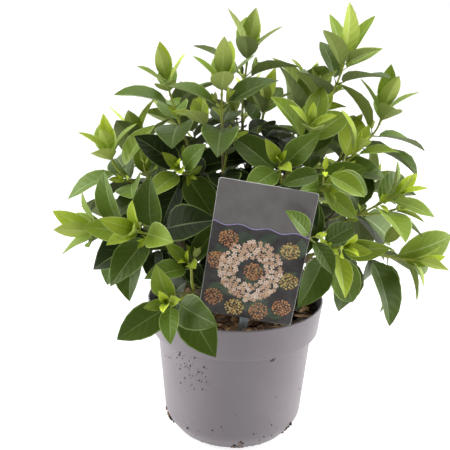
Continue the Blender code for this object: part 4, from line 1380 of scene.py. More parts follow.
class LAURUSTINUS_OT_lay_mulch(bpy.types.Operator):
    """Lay the soil and the bark chips on it"""

    bl_idname = "laurustinus.lay_mulch"
    bl_label = "Lay mulch"

    def execute(self, context):
        settings = context.scene.laurustinus_mulch
        bed = turned_skin(soil_line(), SOIL_STEPS)
        points = bed.vertices[0]
        top = points[:, 2] > SOIL_TOP - MM / 10
        points[top, 2] = soil_height(points[top, 0], points[top, 1])
        dry = mixed(settings.soil, (0.12, 0.07, 0.04), 0.6)
        finish = uneven_material("moist_soil", settings.soil, dry, roughness=0.9, scale=260, depth=1.2 * MM)
        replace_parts(bed.build("soil_bed", [finish], "soil_brown"), "soil")
        self.lay_chips(settings)
        return {"FINISHED"}

    def lay_chips(self, settings):
        """Chips lie on the soil and on each other, most of them nearly flat, shorter at the wall."""
        draw = np.random.default_rng(41)
        count = settings.chips
        wall = RIM_RADIUS - POT_WALL - CHIP_WALL_GAP
        radius = wall * np.sqrt(draw.uniform(0.015, 1, count))
        turn = draw.uniform(0, math.tau, count)
        x, y = radius * np.cos(turn), radius * np.sin(turn)
        length = draw.uniform(*CHIP_LENGTHS_MM, count) * MM
        shortened = np.clip((wall + CHIP_WALL_MARGIN - radius) / CHIP_SHORTENING, CHIP_SHORTEST, 1)
        width = length * draw.uniform(*CHIP_WIDTH_SHARES, count)
        sizes = np.stack((length * shortened, width, draw.uniform(*CHIP_THICKNESSES_MM, count) * MM), -1)
        lift = draw.uniform(*CHIP_LIFTS_MM, count) * MM
        centres = np.stack((x, y, soil_height(x, y) + lift), -1)
        spin = turned_upright(draw.uniform(0, math.tau, count))
        tilt_turn = draw.uniform(0, math.tau, count)
        tilt_axes = np.stack((np.cos(tilt_turn), np.sin(tilt_turn), 0 * tilt_turn), -1)
        tilt = turns_about(tilt_axes, np.radians(draw.normal(0, CHIP_TILT, count)))
        colours = settings.dark_chip, settings.pale_chip
        wood = {"roughness": 0.8, "scale": 300, "depth": 0.5 * MM}
        finishes = toned_materials("chip", *colours, CHIP_TONES, 0.1, **wood)
        scatter("bark_chips", centres, sizes, tilt @ spin, draw, CHIP_TONE_SHARES, finishes)


class LAURUSTINUS_OT_stick_crumbs(bpy.types.Operator):
    """Stick soil crumbs on the pot's wall, most of them at its foot"""

    bl_idname = "laurustinus.stick_crumbs"
    bl_label = "Stick crumbs"

    def execute(self, context):
        draw = np.random.default_rng(7)
        rows = []
        for _ in range(context.scene.laurustinus_pot.crumbs):
            place = draw.uniform(-180, 180), draw.uniform(*CRUMB_HEIGHTS_MM)
            rows.append((*place, 0, 1, draw.uniform(*CRUMB_SIZES_MM)))
        rows = np.array(rows + CRUMB_CLUMPS, float)
        azimuth, z, spread, _, size = np.repeat(rows, rows[:, 3].astype(int), axis=0).T
        count = len(z)
        turn = np.radians(azimuth + draw.normal(0, 1, count) * spread)
        z = np.clip(z + draw.normal(0, 1, count) * spread * 0.9, *CRUMB_LIMITS_MM) * MM
        radius = wall_radius(z)
        centres = np.stack((radius * np.cos(turn), radius * np.sin(turn), z), -1)
        sizes = size[:, None] * draw.uniform(0.4, 1.5, (count, 1)) * draw.uniform(0.6, 1.2, (count, 3)) * MM
        soil = context.scene.laurustinus_mulch.soil
        colours = {
            "dark_crumb": (soil, mixed(soil, (0.1, 0.06, 0.04), 0.5)),
            "pale_crumb": ((0.26, 0.14, 0.07), (0.14, 0.08, 0.04)),
        }
        finishes = [
            uneven_material(name, colour, second, roughness=0.95, scale=300, depth=0.2 * MM)
            for name, (colour, second) in colours.items()
        ]
        scatter("soil_crumbs", centres, sizes, turned_upright(turn), draw, CRUMB_TONE_SHARES, finishes)
        return {"FINISHED"}


# Label


def card_colours(settings):
    """The base colour of each tone of the print, from the settings."""
    petal, bud, gold = settings.petal, settings.bud, settings.gold
    return {
        "edge": (0.4, 0.39, 0.38),
        "header": settings.header,
        "line": settings.line,
        "ground": settings.ground,
        "leaf": (0.018, 0.034, 0.016),
        "leaf_light": (0.035, 0.06, 0.026),
        "rib": (0.07, 0.1, 0.05),
        "petal": petal,
        "petal_light": mixed(petal, (1, 0.86, 0.78), 0.45),
        "petal_deep": mixed(petal, (0.45, 0.22, 0.12), 0.5),
        "bud": bud,
        "bud_light": mixed(bud, (0.6, 0.3, 0.08), 0.5),
        "gold": gold,
        "gold_light": mixed(gold, (0.7, 0.6, 0.2), 0.5),
        "centre": (0.6, 0.4, 0.2),
    }


def on_label(points, behind=0.0):
    """Places of points that are given as right, up and front of the card's foot, on a plane a
    distance behind the card."""
    turns = Matrix.Rotation(CARD_YAW, 4, "Z") @ Matrix.Rotation(CARD_LEAN, 4, "X")
    turns = turns @ Matrix.Rotation(CARD_ROLL, 4, "Y") @ Matrix.Rotation(math.pi / 2, 4, "X")
    matrix = np.array(Matrix.Translation(CARD_FOOT) @ turns @ Matrix.Translation((0, 0, -behind)))
    return np.reshape(points, (-1, 3)) @ matrix[:3, :3].T + matrix[:3, 3]


def card_ring(inset):
    """The card's outline, drawn in by an inset, each corner a quarter circle."""
    half_x, half_y = CARD_WIDTH / 2 - CARD_CORNER, CARD_HEIGHT / 2 - CARD_CORNER
    quarter = np.linspace(0, math.pi / 2, CARD_CORNER_STEPS)[None]
    turn = quarter + math.pi / 2 * (np.arange(4)[:, None] - 1)
    x = np.array((1, 1, -1, -1))[:, None] * half_x + (CARD_CORNER - inset) * np.cos(turn)
    y = np.array((-1, 1, 1, -1))[:, None] * half_y + (CARD_CORNER - inset) * np.sin(turn) + CARD_HEIGHT / 2
    return np.stack((x.ravel(), y.ravel()), -1)


def add_card(skin):
    """The card's body: rings of its outline from the back's middle over the soft edge to the front's."""
    half = CARD_THICKNESS / 2
    rows = ((CARD_EDGE, -half), (0, -half + CARD_BEVEL), (0, half - CARD_BEVEL), (CARD_EDGE, half))
    rings = [np.c_[card_ring(inset), np.full(CARD_RING, z)] for inset, z in rows]
    middle = np.array((0, CARD_HEIGHT / 2, 0))
    inner = [(ring - middle) * (0.02, 0.02, 1) + middle for ring in (rings[0], rings[-1])]
    rings = [inner[0], *rings, inner[1]]
    skin.add(on_label(np.concatenate(rings)), grid_faces(len(rings), CARD_RING, True))
    last = CARD_RING * (len(rings) - 1)
    skin.add_faces((range(CARD_RING)[::-1], range(last, last + CARD_RING)))


def add_flat(skin, shapes, layer, tones, tone):
    """Flat shapes of equal corner counts on the card's front, at a thin layer's height. A tone is
    one name for all the shapes, or a name for each."""
    shapes = np.asarray(shapes, float)
    count, corners = shapes.shape[:2]
    lift = PRINT_LIFT_MM + PRINT_LAYER_MM * np.broadcast_to(layer, count)
    height = CARD_THICKNESS / 2 + lift * MM
    points = np.concatenate((shapes, np.broadcast_to(height[:, None, None], (count, corners, 1))), -1)
    finish = [tones.index(name) for name in np.broadcast_to(tone, count)]
    skin.add(on_label(points), np.arange(count * corners).reshape(count, corners), finish)


def band(lower, upper):
    """A strip between two lines of equal counts, as quads."""
    return np.stack((lower[:-1], lower[1:], upper[1:], upper[:-1]), 1)


def wave_height(x):
    """The edge between header and picture: a low sine wave of the place across the card."""
    return WAVE_PLACE + WAVE_DEPTH * np.sin(x / WAVE_LENGTH)


def petals(centres, size, spin):
    """Five rounded petals round each centre: kites with a blunt outer end."""
    turn = spin[:, None] + np.arange(5) * math.tau / 5
    shape = np.array(((0.12, 0), (0.6, 0.36), (0.95, 0.27), (1.02, 0), (0.95, -0.27), (0.6, -0.36)))
    along, across = directions(turn[..., None])
    points = along * shape[:, :1] + across * shape[:, 1:]
    return (centres[:, None, None] + points * size[:, None, None, None]).reshape(-1, 6, 2)


def discs(centres, size, corners=7):
    """Round flat shapes: each is a ring of corners, times its size, about its centre."""
    ring = directions(even_turns(corners))[0]
    return centres[:, None] + ring * np.reshape(size, (-1, 1, 1))


def printed_leaves(centres, size, spin):
    """Pointed leaves: an outline of ten points, from both sides of the rib."""
    t = np.array((0, 0.2, 0.45, 0.7, 0.88, 1, 0.88, 0.7, 0.45, 0.2))
    side = np.array((0, 1, 1, 1, 1, 0, -1, -1, -1, -1))
    half = 0.26 * side * np.sin(t * math.pi) ** 0.8
    along, across = directions(spin[:, None])
    return centres[:, None] + (along * t[:, None] + across * half[:, None]) * size[:, None, None]


def spread_points(draw, count, apart, inside, middle=PICTURE_MIDDLE, reach=PICTURE_REACH):
    """Points round a middle, inside a region of the picture, each at least a distance from the rest."""
    kept = []
    for _ in range(60 * count):
        point = np.array(middle) + draw.uniform(-reach, reach, 2)
        if inside(point) and all(np.hypot(*(point - other)) > apart for other in kept):
            kept.append(point)
        if len(kept) == count:
            break
    return np.array(kept)


def in_picture(point, margin):
    """Whether a point lies in the picture, a margin from its edges."""
    x, y = point
    return abs(x) < CARD_WIDTH / 2 - margin and margin < y < wave_height(x) - margin


def in_wreath(point):
    """Whether a point lies in the broad ring of flowers round the picture's middle."""
    inner, outer = WREATH_RADII
    across, up = point[0] - WREATH_MIDDLE[0], point[1] - WREATH_MIDDLE[1]
    return in_picture(point, 2 * MM) and inner < np.hypot(across, up * WREATH_SHARE) < outer


def print_leaves(skin, tones, draw):
    """Leaves of two greens with a rib each, laid all over the ground at growing heights."""
    starts = spread_points(draw, 60, 5.5 * MM, lambda point: in_picture(point, 1.5 * MM))
    sizes, spins = draw.uniform(11, 17, len(starts)) * MM, draw.uniform(0, math.tau, len(starts))
    way, across = directions(spins)
    ahead = way * sizes[:, None]
    inside = np.array([in_picture(tip, 3 * MM) for tip in starts + ahead])
    starts, sizes, spins, ahead, across = (row[inside] for row in (starts, sizes, spins, ahead, across))
    layers = 2 + np.arange(len(starts))
    tone = draw.choice(("leaf", "leaf_light"), len(starts))
    add_flat(skin, printed_leaves(starts, sizes, spins), layers, tones, tone)
    across = across * 0.14 * MM
    ribs = np.stack((starts - across, starts + across, starts + 0.92 * ahead, starts + 0.9 * ahead), 1)
    add_flat(skin, ribs, layers + 0.5, tones, "rib")


def print_heads(skin, tones, draw):
    """Round heads of buds, brown ones and golden ones, each bud with a lit spot."""
    for i, middle in enumerate(np.array(BUD_HEADS_MM) * MM):

        def inside(point):
            return in_picture(point, MM) and np.hypot(*(point - middle)) < BUD_HEAD_RADIUS

        near = spread_points(draw, 44, 1.45 * MM, inside, middle, BUD_HEAD_RADIUS)
        tone = draw.choice(("gold", "gold_light") if i % 3 == 1 else ("bud", "bud_light"), len(near))
        add_flat(skin, discs(near, draw.uniform(0.7, 0.95, len(near)) * MM), 90 + i, tones, tone)
        add_flat(skin, discs(near + (-0.2 * MM, 0.25 * MM), 0.25 * MM, 5), 100, tones, "centre")


def print_flowers(skin, tones, draw):
    """A wreath of five-petalled flowers in three tones, each with a warm middle."""
    flowers = spread_points(draw, 190, 2.6 * MM, in_wreath)
    sizes = draw.uniform(1.6, 2.1, len(flowers)) * MM
    layers = 110 + 3 * (np.arange(len(flowers)) % 7)
    shapes = petals(flowers, sizes, draw.uniform(0, math.tau, len(flowers)))
    tone = draw.choice(("petal", "petal_light", "petal_deep"), len(flowers), p=(0.45, 0.4, 0.15))
    add_flat(skin, shapes, np.repeat(layers, 5), tones, np.repeat(tone, 5))
    add_flat(skin, discs(flowers, 0.3 * sizes), layers + 1, tones, "centre")


def add_print(skin, tones):
    """A plain header, a waved line, and a wreath of small flowers among leaves and heads of buds."""
    draw = np.random.default_rng(12)
    x = np.linspace(-CARD_WIDTH / 2 + CARD_EDGE, CARD_WIDTH / 2 - CARD_EDGE, WAVE_POINTS)
    edge = np.stack((x, wave_height(x)), -1)
    corner = np.minimum(CARD_WIDTH / 2 - CARD_EDGE - np.abs(x), CARD_CORNER)
    drawn_in = CARD_CORNER - np.sqrt(np.maximum(0, CARD_CORNER**2 - (CARD_CORNER - corner) ** 2))
    foot = np.stack((x, CARD_EDGE + drawn_in), -1)
    head = np.stack((x, CARD_HEIGHT - CARD_EDGE - drawn_in), -1)
    add_flat(skin, band(edge, head), 0, tones, "header")
    add_flat(skin, band(foot, edge), 0, tones, "ground")
    add_flat(skin, band(edge - WAVE_LINE, edge + WAVE_LINE), 150, tones, "line")
    print_leaves(skin, tones, draw)
    print_heads(skin, tones, draw)
    print_flowers(skin, tones, draw)


def add_stake(skin):
    """A flat blade with a raised rim, narrowing to its point: a profile across it, carried down."""
    point_y = STAKE_OVERLAP - STAKE_LENGTH
    y = np.array((STAKE_OVERLAP, STAKE_OVERLAP - 0.6 * MM, 0, 0.35 * point_y, -30 * MM, point_y))
    half = np.array((0.42, 0.5, 0.5, 0.5, 0.3, 0.17)) * STAKE_WIDTH
    half[-1] = STAKE_POINT_WIDTH / 2
    across = np.array((-1, -1, -0.999, -0.998, 0.998, 0.999, 1, 1))
    inward = np.array((0, 0, 1, 1, 1, 1, 0, 0)) * STAKE_RIM
    front = np.array((-1, 1, 1, 0.1, 0.1, 1, 1, -1)) * STAKE_THICKNESS / 2
    x = across * half[:, None] - np.sign(across) * np.minimum(inward, 0.6 * half[:, None])
    points = np.stack((x, np.broadcast_to(y[:, None], x.shape), np.broadcast_to(front, x.shape)), -1)
    rows, sides = x.shape
    skin.add(on_label(points, STAKE_BEHIND), grid_faces(rows, sides, True)[:, ::-1])
    skin.add_faces((range(sides), range((rows - 1) * sides, rows * sides)[::-1]))


class LAURUSTINUS_OT_print_label(bpy.types.Operator):
    """Print the picture card and put it on its clear stake"""

    bl_idname = "laurustinus.print_label"
    bl_label = "Print label"

    def execute(self, context):
        colours = card_colours(context.scene.laurustinus_label)
        finishes = []
        for name, colour in colours.items():
            lighter = mixed(colour, (1, 1, 1), 0.03)
            print_finish = {"roughness": 0.4, "scale": 90, "depth": 0.004 * MM, "specular": 0.3}
            finishes.append(uneven_material("card_" + name, colour, lighter, **print_finish))
        card = Skin()
        add_card(card)
        add_print(card, list(colours))
        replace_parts(card.build("label_picture", finishes, "card_print", smooth=False), "label_card")
        stake = Skin()
        add_stake(stake)
        clear = plain_material("clear_plastic", (0.6, 0.68, 0.72), 0.15, transmission=0.7, ior=1.45)
        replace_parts(stake.build("label_clear_stake", [clear], "clear_plastic", smooth=False), "label_stake")
        return {"FINISHED"}


# Limbs, stems and leaves


def bark_relief(seed):
    """Lengthwise ridges that wander with height, knots, and rings of old leaf scars: waves of the
    turn and of the length along the limb."""
    chance = random.Random(seed)
    phases = [chance.uniform(0, math.tau) for _ in range(5)]

    def relief(along, turn):
        ridges = 0.13 * np.sin(5 * turn + phases[0] + 90 * along)
        fine_ridges = 0.08 * np.sin(9 * turn + phases[1] - 210 * along)
        knots = 0.1 * np.sin(2 * turn + phases[2] + 330 * along) * np.sin(470 * along + phases[3])
        rings = 0.3 * np.maximum(0, np.sin(260 * along + phases[4])) ** 14
        return (ridges + fine_ridges + knots + rings) * MM

    return relief


class LAURUSTINUS_OT_grow_limbs(bpy.types.Operator):
    """Grow the bark of the main stem and its boughs"""

    bl_idname = "laurustinus.grow_limbs"
    bl_label = "Grow limbs"

    def execute(self, context):
        skin = Skin()
        path = main_stem_path(MAIN_STEM_RINGS)
        above = path[:, 2] - STEM_FOOT[2]
        flare = np.clip(1 - above / STEM_FLARE_HEIGHT, 0, 1) ** 2
        radii = stem_radius_at(path[:, 2]) + (STEM_FLARE_RADIUS - STEM_FOOT_RADIUS) * flare
        add_swept(skin, path, radii, MAIN_STEM_SIDES, 0, bark_relief("main stem"))
        for name in BOUGHS:
            start, way, end, end_way = bough_line(name)
            path = smooth_path(start - way * BOUGH_SUNK, way, end, end_way, BOUGH_RINGS)
            radii = np.linspace(BOUGH_ROOT_RADIUS, BOUGH_TIP_RADIUS, len(path))
            swelling = BOUGH_SWELLING * np.exp(-path_lengths(path) / BOUGH_SWELLING_LENGTH)
            add_swept(skin, path, radii * (1 + swelling), BOUGH_SIDES, 0, bark_relief(name))
        bark = context.scene.laurustinus_foliage.bark
        pale = mixed(bark, (0.3, 0.26, 0.17), 0.5)
        texture = {"roughness": 0.8, "scale": 330, "depth": 0.4 * MM, "stretch": (1, 1, 0.35)}
        limbs = skin.build("bark_limbs", [uneven_material("thin_bark", bark, pale, **texture)], "bark_brown")
        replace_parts(limbs, "main_stem", *("bough_" + name for name in BOUGHS))
        return {"FINISHED"}


def stem_radii(lengths, root_radius, tip_radius, places):
    """An even taper, with a bell-shaped swelling at each leaf pair."""
    radii = np.interp(lengths, (0, lengths[-1]), (root_radius, tip_radius))
    for from_tip in places:
        radii = radii + NODE_SWELLING * np.exp(-(((lengths[-1] - from_tip - lengths) / NODE_LENGTH) ** 2))
    return radii


class LAURUSTINUS_OT_grow_stems(bpy.types.Operator):
    """Grow the green stems, side twigs and sprigs"""

    bl_idname = "laurustinus.grow_stems"
    bl_label = "Grow stems"

    def execute(self, context):
        settings = context.scene.laurustinus_foliage
        crown = grown_crown()
        skin = Skin()
        for name, (start, way, end, end_way) in crown.lines.items():
            twigs, _, places = crown.plans[name]
            path = smooth_path(start - way * STEM_SUNK, way, end, end_way, STEM_RINGS * 2)
            lengths = path_lengths(path)
            radii = stem_radii(lengths, SHOOT_ROOT_RADIUS, STEM_TIP_SHARE * SHOOT_TIP_RADIUS, places)
            from_tip = (lengths[-1] - lengths) / MM
            add_swept(skin, path, radii, STEM_SIDES, np.digitize(from_tip, STEM_BANDS_MM))
            for twig in twigs:
                self.add_twig(skin, twig)
        for path, radius in crown.finer:
            radii = np.linspace(radius, FINE_TIP_SHARE * radius, len(path))
            add_swept(skin, path, radii, FINE_SIDES, 0 if radius == SPRIG_RADIUS else 1)
        bark = {"roughness": 0.5, "scale": 260, "depth": 0.1 * MM}
        finishes = toned_materials("stem", settings.stem, settings.twig, STEM_TONES, 0.2, **bark)
        shoots = [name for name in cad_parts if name.startswith("shoot_")]
        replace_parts(skin.build("green_stems", finishes, "shoot_green"), *shoots)
        return {"FINISHED"}

    def add_twig(self, skin, twig):
        """A side twig, smoothed along the rule's points."""
        path = smooth_path(twig[0], twig[1] - twig[0], twig[-1], twig[-1] - twig[-2], STEM_RINGS // 2)
        places = [place * MM for place in TWIG_PAIR_PLACES]
        tip_radius = TWIG_TIP_SHARE * SHOOT_TIP_RADIUS
        radii = stem_radii(path_lengths(path), SHOOT_TIP_RADIUS, tip_radius, places)
        add_swept(skin, path, radii, STEM_SIDES)


def ramp(values, start, end):
    """0 before the start, 1 past the end, and even between them."""
    return np.clip((values - start) / (end - start), 0, 1)


def leaf_tones(leaves, draw):
    """The tone of each leaf, in whole steps from 0 for the newest to 5 for the oldest and most shaded: older
    with its pair and with how far it has spread, darker with painted shade in the crown's middle, at its foot
    and before its front, darker high in the crown, lighter far out with painted light, and with a small
    chance difference."""
    root, pair = leaves["root"], leaves["pair"]
    inside = np.linalg.norm((root - CROWN_MIDDLE) * CROWN_FLATTENING, axis=1)
    # Painted shade: leaves in the crown's middle and old leaves low at its foot are made darker
    shade = PAINTED_SHADE_DARKENING * np.clip((SHADE_EDGE - inside) / SHADE_DEPTH, -0.2, 1)
    low = ramp(root[:, 2], *LOW_LEAVES) * np.clip(pair - 0.9, 0, 1.2)
    high = HIGH_DARKENING * ramp(root[:, 2], *HIGH_LEAVES)
    spread = SPREAD_AGE * ramp(leaves["length"] / LEAF_LENGTH, *SPREAD_LENGTHS) * ramp(pair, *SPREAD_PAIRS)
    chance = draw.normal(0, AGE_CHANCE, len(pair)) * np.where(pair > 2, 1.5, 1)
    # Painted shade before the crown's front, on all but the two newest pairs
    from_front = np.linalg.norm((root - CROWN_FRONT) / CROWN_FRONT_REACH, axis=1)
    front = np.clip(1 - from_front**2, 0, 1) * (pair > 1)
    age_and_shade = PAIR_AGE * pair + shade + low + high + spread + front + chance
    # Painted light: leaves far out keep off the darkest tones, as they stand lit
    darkest = INNER_DARKEST_TONE + (LIT_OUTER_DARKEST_TONE - INNER_DARKEST_TONE) * ramp(inside, *OUTER_LEAVES)
    return np.clip(np.round(np.minimum(age_and_shade, darkest)), 0, TONES - 1).astype(int)


def leaf_arrays(crown):
    """All the kept leaves as arrays, with each one's fold, wave and tone drawn from one seed."""
    rows = crown.leaves()
    draw = np.random.default_rng(5)
    leaves = {key: np.array([leaf[key] for leaf in rows]) for key in rows[0]}
    count = len(rows)
    leaves["fold"] = LEAF_FOLD + np.radians(draw.uniform(-8, 5, count))
    leaves["wave"] = draw.uniform(0, math.tau, count)
    leaves["width"] = LEAF_ASPECT * np.interp(leaves["pair"], WIDTH_PAIRS, WIDTH_SHARES)
    leaves["tone"] = leaf_tones(leaves, draw)
    leaves["ripple"] = draw.uniform(0.03, 0.13, count)
    leaves["twist"] = np.radians(draw.normal(0, 9, count))
    return leaves


def blade_surface(leaves, along, across, lift):
    """Points of every blade at shares along it and across it, where -1 and 1 are its margins.
    The rib is an arc that bends down evenly. A point is the rib's point, plus half the width at
    that share times the share across, plus the fold and a low wave that lift the margins, plus
    the lift times half the thickness. The blade turns evenly about its rib from base to tip."""
    keys = ("bend", "length", "fold", "wave", "width", "ripple", "twist")
    bend, length, fold, wave, width, ripple, twist = (leaves[key][:, None] for key in keys)
    angle = bend * along
    arc = (1 - PETIOLE_SHARE) * length
    forward = PETIOLE_SHARE * length + arc * np.sin(angle) / bend
    down = arc * (1 - np.cos(angle)) / bend
    way, normal = leaves["way"][:, None], leaves["normal"][:, None]
    rib = leaves["root"][:, None] + way * forward[..., None] - normal * down[..., None]
    blade_normal = normal * np.cos(angle)[..., None] + way * np.sin(angle)[..., None]
    half = BLADE_FULLNESS * along**BLADE_RISE * (1 - along) * length * width / 2
    waves = ripple * np.sin(BLADE_WAVES * along + wave + BLADE_WAVE_LAG * np.sign(across)) * np.abs(across)
    raised = half * (np.sin(fold) * np.abs(across) + waves)
    lifted = raised + np.minimum(LEAF_HALF_THICKNESS, LEAF_THICKNESS_LIMIT * length) * lift
    sideways = half * np.cos(fold) * across
    cosine, sine = np.cos(twist * along), np.sin(twist * along)
    sideways, lifted = sideways * cosine - lifted * sine, sideways * sine + lifted * cosine
    return rib + np.cross(way, normal) * sideways[..., None] + blade_normal * lifted[..., None]


def repeated_faces(faces, count, vertices_each):
    """One shape's faces repeated for all its copies."""
    offsets = (np.arange(count) * vertices_each)[:, None, None]
    return (np.asarray(faces)[None] + offsets).reshape(-1, len(faces[0]))


def add_blades(skin, leaves, blade_rows, section):
    """Closed blades: rings of points round the section, drawn to a point at base and tip."""
    section = np.array(section)
    count, ring, rows = len(leaves["length"]), len(section), len(blade_rows)
    along = np.concatenate(((0,), np.repeat(blade_rows, ring), (1,)))
    across = np.concatenate(((0,), np.tile(section[:, 0], rows), (0,)))
    lift = np.concatenate(((0,), np.tile(section[:, 1], rows), (0,)))
    points = blade_surface(leaves, along, across, lift)
    k = np.arange(ring)
    quads = 1 + grid_faces(rows, ring, True)[:, ::-1]
    below = np.tile(np.isin(section[:, 2], (1, 3)), rows - 1)
    quads[below] = np.roll(quads[below], 1, axis=1)
    base = np.stack((np.zeros(ring, int), 1 + (k + 1) % ring, 1 + k), -1)
    last = 1 + (rows - 1) * ring
    tip = np.stack((last + k, last + (k + 1) % ring, np.full(ring, len(along) - 1)), -1)
    places = np.broadcast_to(np.stack((along, across), -1), (count, len(along), 2))
    start = skin.count
    part = LEAF_FINISHES * leaves["tone"][:, None] + section[:, 2].astype(int)
    skin.add(points, repeated_faces(quads, count, len(along)), np.tile(part, (1, rows - 1)).ravel(), places)
    for fan in (base[:, ::-1], tip[:, ::-1]):
        skin.add_faces(repeated_faces(fan, count, len(along)), part.ravel(), start)


def add_side_veins(skin, leaves, finish):
    """Fine raised side veins: strips that leave the rib and curve forward to the margin."""
    lines = np.array([
        [(start + ahead, side * across) for ahead, across in VEIN_POINTS]
        for side in (-1, 1)
        for start in SIDE_VEINS
    ])
    along, across = lines[..., 0].ravel(), lines[..., 1].ravel()
    lifts = np.full(along.size, VEIN_LIFT)
    shape = (-1, len(lines), 3, 3)
    line = blade_surface(leaves, along, across, lifts).reshape(shape)
    ahead = blade_surface(leaves, along + VEIN_STEP, across, lifts).reshape(shape) - line
    ahead = ahead / np.linalg.norm(ahead, axis=-1, keepdims=True)
    width = np.array(VEIN_HALF_WIDTHS)[:, None]
    points = np.stack((line - ahead * width, line + ahead * width), 3)
    faces = np.array(((0, 1, 3, 2), (2, 3, 5, 4)))
    half = len(SIDE_VEINS)
    skin.add(points[:, :half], repeated_faces(faces, len(line) * half, 6), finish)
    skin.add(points[:, half:], repeated_faces(faces[:, ::-1], len(line) * half, 6), finish)


def add_petioles(skin, leaves, finish):
    """Leaf stalks: four-sided rings from inside the stem to under the blade's foot. A ring's centre
    is the leaf's root plus its share of the stalk along the leaf's way."""
    length = leaves["length"][:, None, None, None]
    way, normal = leaves["way"][:, None, None], leaves["normal"][:, None, None]
    share = np.array(STALK_RINGS)[None, :, None, None] * PETIOLE_SHARE
    turn = even_turns(STALK_SIDES)[None, None, :, None]
    thickness = np.array(STALK_THICKNESS)[None, :, None, None]
    radius = np.clip(STALK_RADIUS * length, *STALK_RADII) * thickness
    across = np.cross(way, normal)
    drop = normal * (share > PETIOLE_SHARE) * STALK_DROP
    centre = leaves["root"][:, None, None] + way * share * length - drop
    points = centre + radius * (np.cos(turn) * across + np.sin(turn) * normal)
    ends = ((3, 2, 1, 0), (8, 9, 10, 11))
    faces = np.concatenate((grid_faces(len(STALK_RINGS), STALK_SIDES, True), ends))
    each = len(STALK_RINGS) * STALK_SIDES
    skin.add(points, repeated_faces(faces, len(length), each), np.repeat(finish, len(faces)))


def leaf_finishes(settings):
    """The six finishes of each tone: upper side, underside, rib, rib below, side veins and margin."""
    young, grown, old, under, vein = (getattr(settings, key) for key in LEAF_COLOURS)
    finishes = []
    for tone in range(TONES):
        # The tone's share, from the newest to the darkest, carries painted shade as well as age
        age_and_shade = tone / (TONES - 1)
        colour = mixed(young, grown, (2 * age_and_shade) ** 0.9) if age_and_shade < 0.5 else mixed(grown, old, 2 * age_and_shade - 1)
        back = mixed(mixed(young, (0.7, 0.75, 0.5), 0.14), under, min(1, 1.6 * age_and_shade))
        back = mixed(back, colour, 0.5 * age_and_shade**2)
        rib = mixed(mixed(young, (0.8, 0.85, 0.5), 0.45), vein, min(1, 1.3 * age_and_shade))
        looks = {
            "upper": (colour, settings.roughness, 0.06, 0.12),
            "under": (back, 0.65, 0.06, 0.3),
            "rib": (mixed(rib, colour, 0.6), 0.5, 0.01, 0.4),
            "rib_under": (mixed(rib, back, 0.4), 0.6, 0.01, 0.3),
            "vein": (mixed(rib, colour, 0.72), 0.5, 0.01, 0.2),
            "margin": (mixed(rib, colour, 0.35), 0.5, 0.01, 0.2),
        }
        for side, (base, roughness, depth, specular) in looks.items():
            name = f"leaf_{side}_{tone}"
            finishes.append(leaf_material(name, base, roughness, depth * MM, specular=specular))
    return finishes


class LAURUSTINUS_OT_grow_leaves(bpy.types.Operator):
    """Grow the leaves, from the lime rosettes to the dark old ones and those in painted shade"""

    bl_idname = "laurustinus.grow_leaves"
    bl_label = "Grow leaves"

    def execute(self, context):
        finishes = leaf_finishes(context.scene.laurustinus_foliage)
        leaves = leaf_arrays(grown_crown())
        large = leaves["length"] > LEAFLET_SHARE * LEAF_LENGTH
        grown = {key: values[large] for key, values in leaves.items()}
        young = {key: values[~large] for key, values in leaves.items()}
        skin = Skin()
        add_blades(skin, grown, BLADE_ROWS, BLADE_SECTION)
        vein_finish = LEAF_FINISHES * grown["tone"] + VEIN_FINISH
        add_side_veins(skin, grown, np.repeat(vein_finish, 2 * len(SIDE_VEINS)))
        self.finish(skin, grown, "leaves", finishes)
        skin = Skin()
        add_blades(skin, young, LEAFLET_ROWS, LEAFLET_SECTION)
        self.finish(skin, young, "leaflets", finishes)
        return {"FINISHED"}

    def finish(self, skin, leaves, name, finishes):
        """Adds the leaf stalks and builds the piece."""
        add_petioles(skin, leaves, LEAF_FINISHES * leaves["tone"] + RIB_FINISH)
        skin.build(name, finishes, "shoot_green")


# Studio


def add_light(name, place, power):
    """A soft square light that faces the plant's middle."""
    data = bpy.data.lights.new(name, "AREA")
    data.shape = "RECTANGLE"
    data.size, data.size_y = SOFTBOX_SIZE, SOFTBOX_SIZE
    data.energy = power
    made = linked(name, data)
    way = unit(np.array(PLANT_MIDDLE) - np.array(place))
    side = unit(np.cross(way, (0, 0, 1)))
    axes = np.stack((side, np.cross(side, way), -way), 1)
    made.matrix_world = Matrix([(*row, at) for row, at in zip(axes, place)] + [(0, 0, 0, 1)])


def set_world(settings):
    """A pale room, which lights the plant more from behind than from the front."""
    world = bpy.data.worlds.new("pale room")
    bpy.context.scene.world = world
    world.use_nodes = True
    tree = world.node_tree
    way = add_node(tree, "TexCoord", {})["Generated"]
    back = add_node(tree, "SeparateXYZ", {0: way})["Y"]
    lights = {"To Min": settings.front_light, "To Max": settings.back_light}
    light = add_node(tree, "MapRange", {"Value": back, "From Min": -0.7, "From Max": 0.6, **lights})[0]
    seen = add_node(tree, "LightPath", {})["Is Camera Ray"]
    strength = add_node(tree, "Mix", {0: seen, 2: light, 3: 1.0}, data_type="FLOAT")[0]
    background = tree.nodes["Background"].inputs
    tree.links.new(strength, background["Strength"])
    background["Color"].default_value = (1, 1, 1, 1)


def add_floor(settings):
    """A wide round floor just below the pot, pale by its own faint light."""
    ring = np.c_[FLOOR_RADIUS * directions(even_turns(FLOOR_SIDES))[0], np.full(FLOOR_SIDES, -FLOOR_DROP)]
    mesh = bpy.data.meshes.new("floor")
    mesh.from_pydata(ring.tolist(), [], [list(range(FLOOR_SIDES))])
    lighter = mixed(settings.floor, (1, 1, 1), 0.03)
    finish = {"roughness": 0.7, "scale": 3, "depth": 0.01 * MM}
    glow = {"glow_colour": (1, 1, 1, 1), "glow": settings.floor_glow}
    mesh.materials.append(uneven_material("pale_floor", settings.floor, lighter, **finish, **glow))
    floor = linked("floor", mesh)


